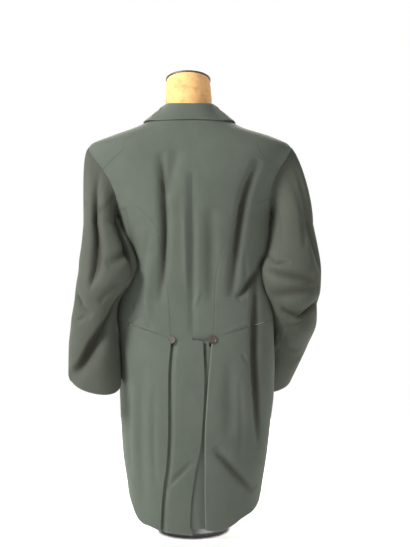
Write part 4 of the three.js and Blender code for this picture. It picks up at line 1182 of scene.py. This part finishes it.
levels = np.concatenate([[300, 303, 308], np.linspace(312, FORM["z"][-1], 127)])
rings = np.stack([form_ring(z) for z in levels])
rings[-4:, :, 2] += NECK_TILT * rings[-4:, :, 1] / NECK_REACH * np.array([0.35, 0.6, 0.85, 1])[:, None]
closed = np.concatenate([rings[:1].mean(1, keepdims=True).repeat(FORM_SIDES, 1), rings])
closed = np.concatenate([closed, rings[-1:].mean(1, keepdims=True).repeat(FORM_SIDES, 1)])
mesh = bpy.data.meshes.new("form_body_linen")
number = np.arange(closed.shape[0] * FORM_SIDES).reshape(-1, FORM_SIDES)
a, b = number[:-1], number[1:]
quads = np.stack([a, np.roll(a, -1, 1), np.roll(b, -1, 1), b], -1).reshape(-1, 4)
mesh.from_pydata((closed.reshape(-1, 3) * MM).tolist(), [], quads.tolist())
form_body = placed(mesh)
bpy.ops.object.mode_set(mode="EDIT")
bpy.ops.mesh.select_all(action="SELECT")
bpy.ops.mesh.remove_doubles(threshold=0.00001)
bpy.ops.mesh.normals_make_consistent(inside=False)
bpy.ops.object.mode_set(mode="OBJECT")
bpy.ops.object.shade_smooth_by_angle(angle=math.radians(50))
form_body.data.materials.append(aged_linen("aged_cream_linen"))
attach(form_body, "root")
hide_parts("form_body")


# ---- Neck plate ----------------------------------------------------------
# The neck is capped with a thin oval plate of turned wood, stained dark and waxed, which
# stands a little over the linen.

PLATE_THICKNESS = 5
PLATE_OVERHANG = 1.6
PLATE_GAP = 0.35  # between the linen's top and the plate


def stained_wood(name):
    """Close-grained beech, stained near black and waxed: faint long grain, soft polish."""
    material, tree, shader = new_material(name)
    place = node(tree, "ShaderNodeTexCoord").outputs["Object"]
    # grain lines 1.5 mm apart, drawn long across the plate
    laid = node(tree, "ShaderNodeMapping", {"Vector": place, "Scale": (40, 600, 600)})
    lines = node(tree, "ShaderNodeTexNoise", {"Vector": laid.outputs[0], "Scale": 1, "Detail": 4})
    colour = node(
        tree,
        "ShaderNodeMix",
        {"Factor": lines.outputs["Fac"], "A": srgb("#3b352d"), "B": srgb("#5c5346")},
        data_type="RGBA",
    )
    tree.links.new(colour.outputs["Result"], shader.inputs["Base Color"])
    bump = node(
        tree,
        "ShaderNodeBump",
        {"Height": lines.outputs["Fac"], "Strength": 0.25, "Distance": 0.0002},
    )
    tree.links.new(bump.outputs[0], shader.inputs["Normal"])
    shader.inputs["Roughness"].default_value = 0.5
    return material


bpy.ops.object.select_all(action="DESELECT")
neck = {key: FORM[key][-1] for key in FORM}
bpy.ops.mesh.primitive_cylinder_add(
    vertices=96, radius=1, depth=PLATE_THICKNESS * MM, location=(0, 0, PLATE_THICKNESS * MM / 2)
)
plate = bpy.context.object
plate.name = "form_neck_plate_wood"
half_depth = (neck["back"] + neck["front"]) / 2
plate.scale = ((neck["half"] + PLATE_OVERHANG) * MM, (half_depth + PLATE_OVERHANG) * MM, 1)
bpy.ops.object.transform_apply(location=True, rotation=True, scale=True)
eased(plate, width=1.4, segments=4)
bpy.ops.object.mode_set(mode="EDIT")
bpy.ops.mesh.select_all(action="SELECT")
bpy.ops.transform.rotate(
    value=-math.atan(NECK_TILT / NECK_REACH), orient_axis="X", center_override=(0, 0, 0)
)
lift = (neck["z"] + PLATE_GAP) * MM
bpy.ops.transform.translate(value=(neck["x"] * MM, (neck["back"] - neck["front"]) / 2 * MM, lift))
bpy.ops.object.mode_set(mode="OBJECT")
plate.data.materials.append(stained_wood("stained_beech"))
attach(plate, "root")
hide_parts("form_neck_plate")


# ---- Stand ---------------------------------------------------------------
# An iron pole rises from the hub of a round cast iron foot into the form.  Both are
# painted black.

POLE_RADIUS = 14
BASE_RADIUS = 84
BASE_THICKNESS = 9
HUB_RADIUS = 24
HUB_HEIGHT = 24
POLE_GAP = 0.3  # at the hub and at the form


def painted_iron(name):
    """Sand-cast iron under old black paint: a slightly lumpy skin with a satin gloss."""
    material, tree, shader = new_material(name)
    place = node(tree, "ShaderNodeTexCoord").outputs["Object"]
    # sand grain of the casting, about 3 mm, under the paint
    sand = node(tree, "ShaderNodeTexNoise", {"Vector": place, "Scale": 330, "Detail": 3})
    dust = node(tree, "ShaderNodeTexNoise", {"Vector": place, "Scale": 25, "Detail": 3})
    colour = node(
        tree,
        "ShaderNodeMix",
        {"Factor": dust.outputs["Fac"], "A": srgb("#232323"), "B": srgb("#3a3937")},
        data_type="RGBA",
    )
    tree.links.new(colour.outputs["Result"], shader.inputs["Base Color"])
    bump = node(
        tree,
        "ShaderNodeBump",
        {"Height": sand.outputs["Fac"], "Strength": 0.4, "Distance": 0.0004},
    )
    tree.links.new(bump.outputs[0], shader.inputs["Normal"])
    shader.inputs["Roughness"].default_value = 0.42
    return material


IRON = painted_iron("painted_cast_iron")

bpy.ops.object.select_all(action="DESELECT")
low, high = HUB_HEIGHT + POLE_GAP, FORM["z"][0] - POLE_GAP
bpy.ops.mesh.primitive_cylinder_add(
    vertices=48, radius=POLE_RADIUS * MM, depth=(high - low) * MM, location=(0, 0, (low + high) / 2 * MM)
)
pole = bpy.context.object
pole.name = "stand_pole_iron"
bpy.ops.object.transform_apply(location=True, rotation=True, scale=True)
eased(pole, width=0.8, segments=3, sharpest=35)

bpy.ops.object.select_all(action="DESELECT")
bpy.ops.mesh.primitive_cylinder_add(
    vertices=96,
    radius=BASE_RADIUS * MM,
    depth=BASE_THICKNESS * MM,
    location=(0, 0, BASE_THICKNESS * MM / 2),
)
base = bpy.context.object
base.name = "stand_base_iron"
bpy.ops.object.transform_apply(location=True, rotation=True, scale=True)
edit_select(base, lambda centre, normal: normal.z > 0.9)
bpy.ops.mesh.inset(thickness=3 * MM)
bpy.ops.mesh.inset(thickness=(BASE_RADIUS - 3 - HUB_RADIUS - 6) * MM, depth=3 * MM)
bpy.ops.mesh.inset(thickness=6 * MM, depth=(HUB_HEIGHT - BASE_THICKNESS - 7) * MM)
bpy.ops.mesh.inset(thickness=4 * MM, depth=4 * MM)
bpy.ops.object.mode_set(mode="OBJECT")
eased(base, width=1.2, segments=3, sharpest=35)

for piece, part in ((pole, "stand_pole"), (base, "stand_base")):
    piece.data.materials.append(IRON)
    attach(piece, "root")
    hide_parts(part)


# ---- Floor, lights and camera --------------------------------------------
# A pale studio floor under plain soft light: a key from the upper left that rakes
# across the back, a weak fill from the right, a lamp over the floor and a room with
# white walls that light the coat's outline.


def studio_floor(name):
    """Matt white studio vinyl with a barely uneven surface."""
    material, tree, shader = new_material(name)
    place = node(tree, "ShaderNodeTexCoord").outputs["Object"]
    cloud = node(tree, "ShaderNodeTexNoise", {"Vector": place, "Scale": 2})
    colour = node(
        tree,
        "ShaderNodeMix",
        {"Factor": cloud.outputs["Fac"], "A": srgb("#f4f4f2"), "B": srgb("#f8f8f7")},
        data_type="RGBA",
    )
    tree.links.new(colour.outputs["Result"], shader.inputs["Base Color"])
    shader.inputs["Roughness"].default_value = 0.9
    return material


bpy.ops.mesh.primitive_plane_add(size=3.2, location=(0, 0, -0.0005))
floor = bpy.context.object
floor.name = "studio_floor"
floor.data.materials.append(studio_floor("matt_white_vinyl"))

world = bpy.data.worlds.new("bright_room")
bpy.context.scene.world = world
world.use_nodes = True
# the room's white walls stand all round and its ceiling and floor are dim
sky = world.node_tree
heading = node(sky, "ShaderNodeTexCoord").outputs["Generated"]
height = node(sky, "ShaderNodeSeparateXYZ", {"Vector": heading}).outputs["Z"]
slant = node(sky, "ShaderNodeMath", {0: height}, operation="ABSOLUTE")
dim = node(
    sky,
    "ShaderNodeMapRange",
    {"Value": slant.outputs[0], "From Min": 0.3, "From Max": 0.38, "To Min": 1.0, "To Max": 0.04},
)
sky.nodes["Background"].inputs["Color"].default_value = srgb("#ffffff")
sky.links.new(dim.outputs[0], sky.nodes["Background"].inputs["Strength"])
bpy.context.scene.view_settings.view_transform = "Standard"

LIGHTS = (
    ("key", (2.3, 1.4, 2.4), 0.8, 160),
    ("fill", (-1.7, 1.9, 0.9), 1.2, 9),
    ("floor", (0, -2.6, 2.4), 3.0, 230),
)
for name, place, size, watts in LIGHTS:
    lamp = bpy.data.lights.new(name, "AREA")
    lamp.size = size
    lamp.energy = watts
    holder = bpy.data.objects.new(name, lamp)
    bpy.context.scene.collection.objects.link(holder)
    holder.location = place
    toward = Vector((0, 0, -1)) if name == "floor" else Vector((0, 0, 0.6)) - Vector(place)
    holder.rotation_mode = "QUATERNION"
    holder.rotation_quaternion = toward.to_track_quat("-Z", "Y")

camera = bpy.data.cameras.new("camera")
camera.sensor_width = 36
camera.sensor_fit = "HORIZONTAL"
camera.lens = 78.46
camera_holder = bpy.data.objects.new("camera", camera)
bpy.context.scene.collection.objects.link(camera_holder)
camera_holder.location = (-0.028, 2.1, 0.597)
camera_holder.rotation_euler = (math.radians(90), 0, math.radians(180))
bpy.context.scene.camera = camera_holder
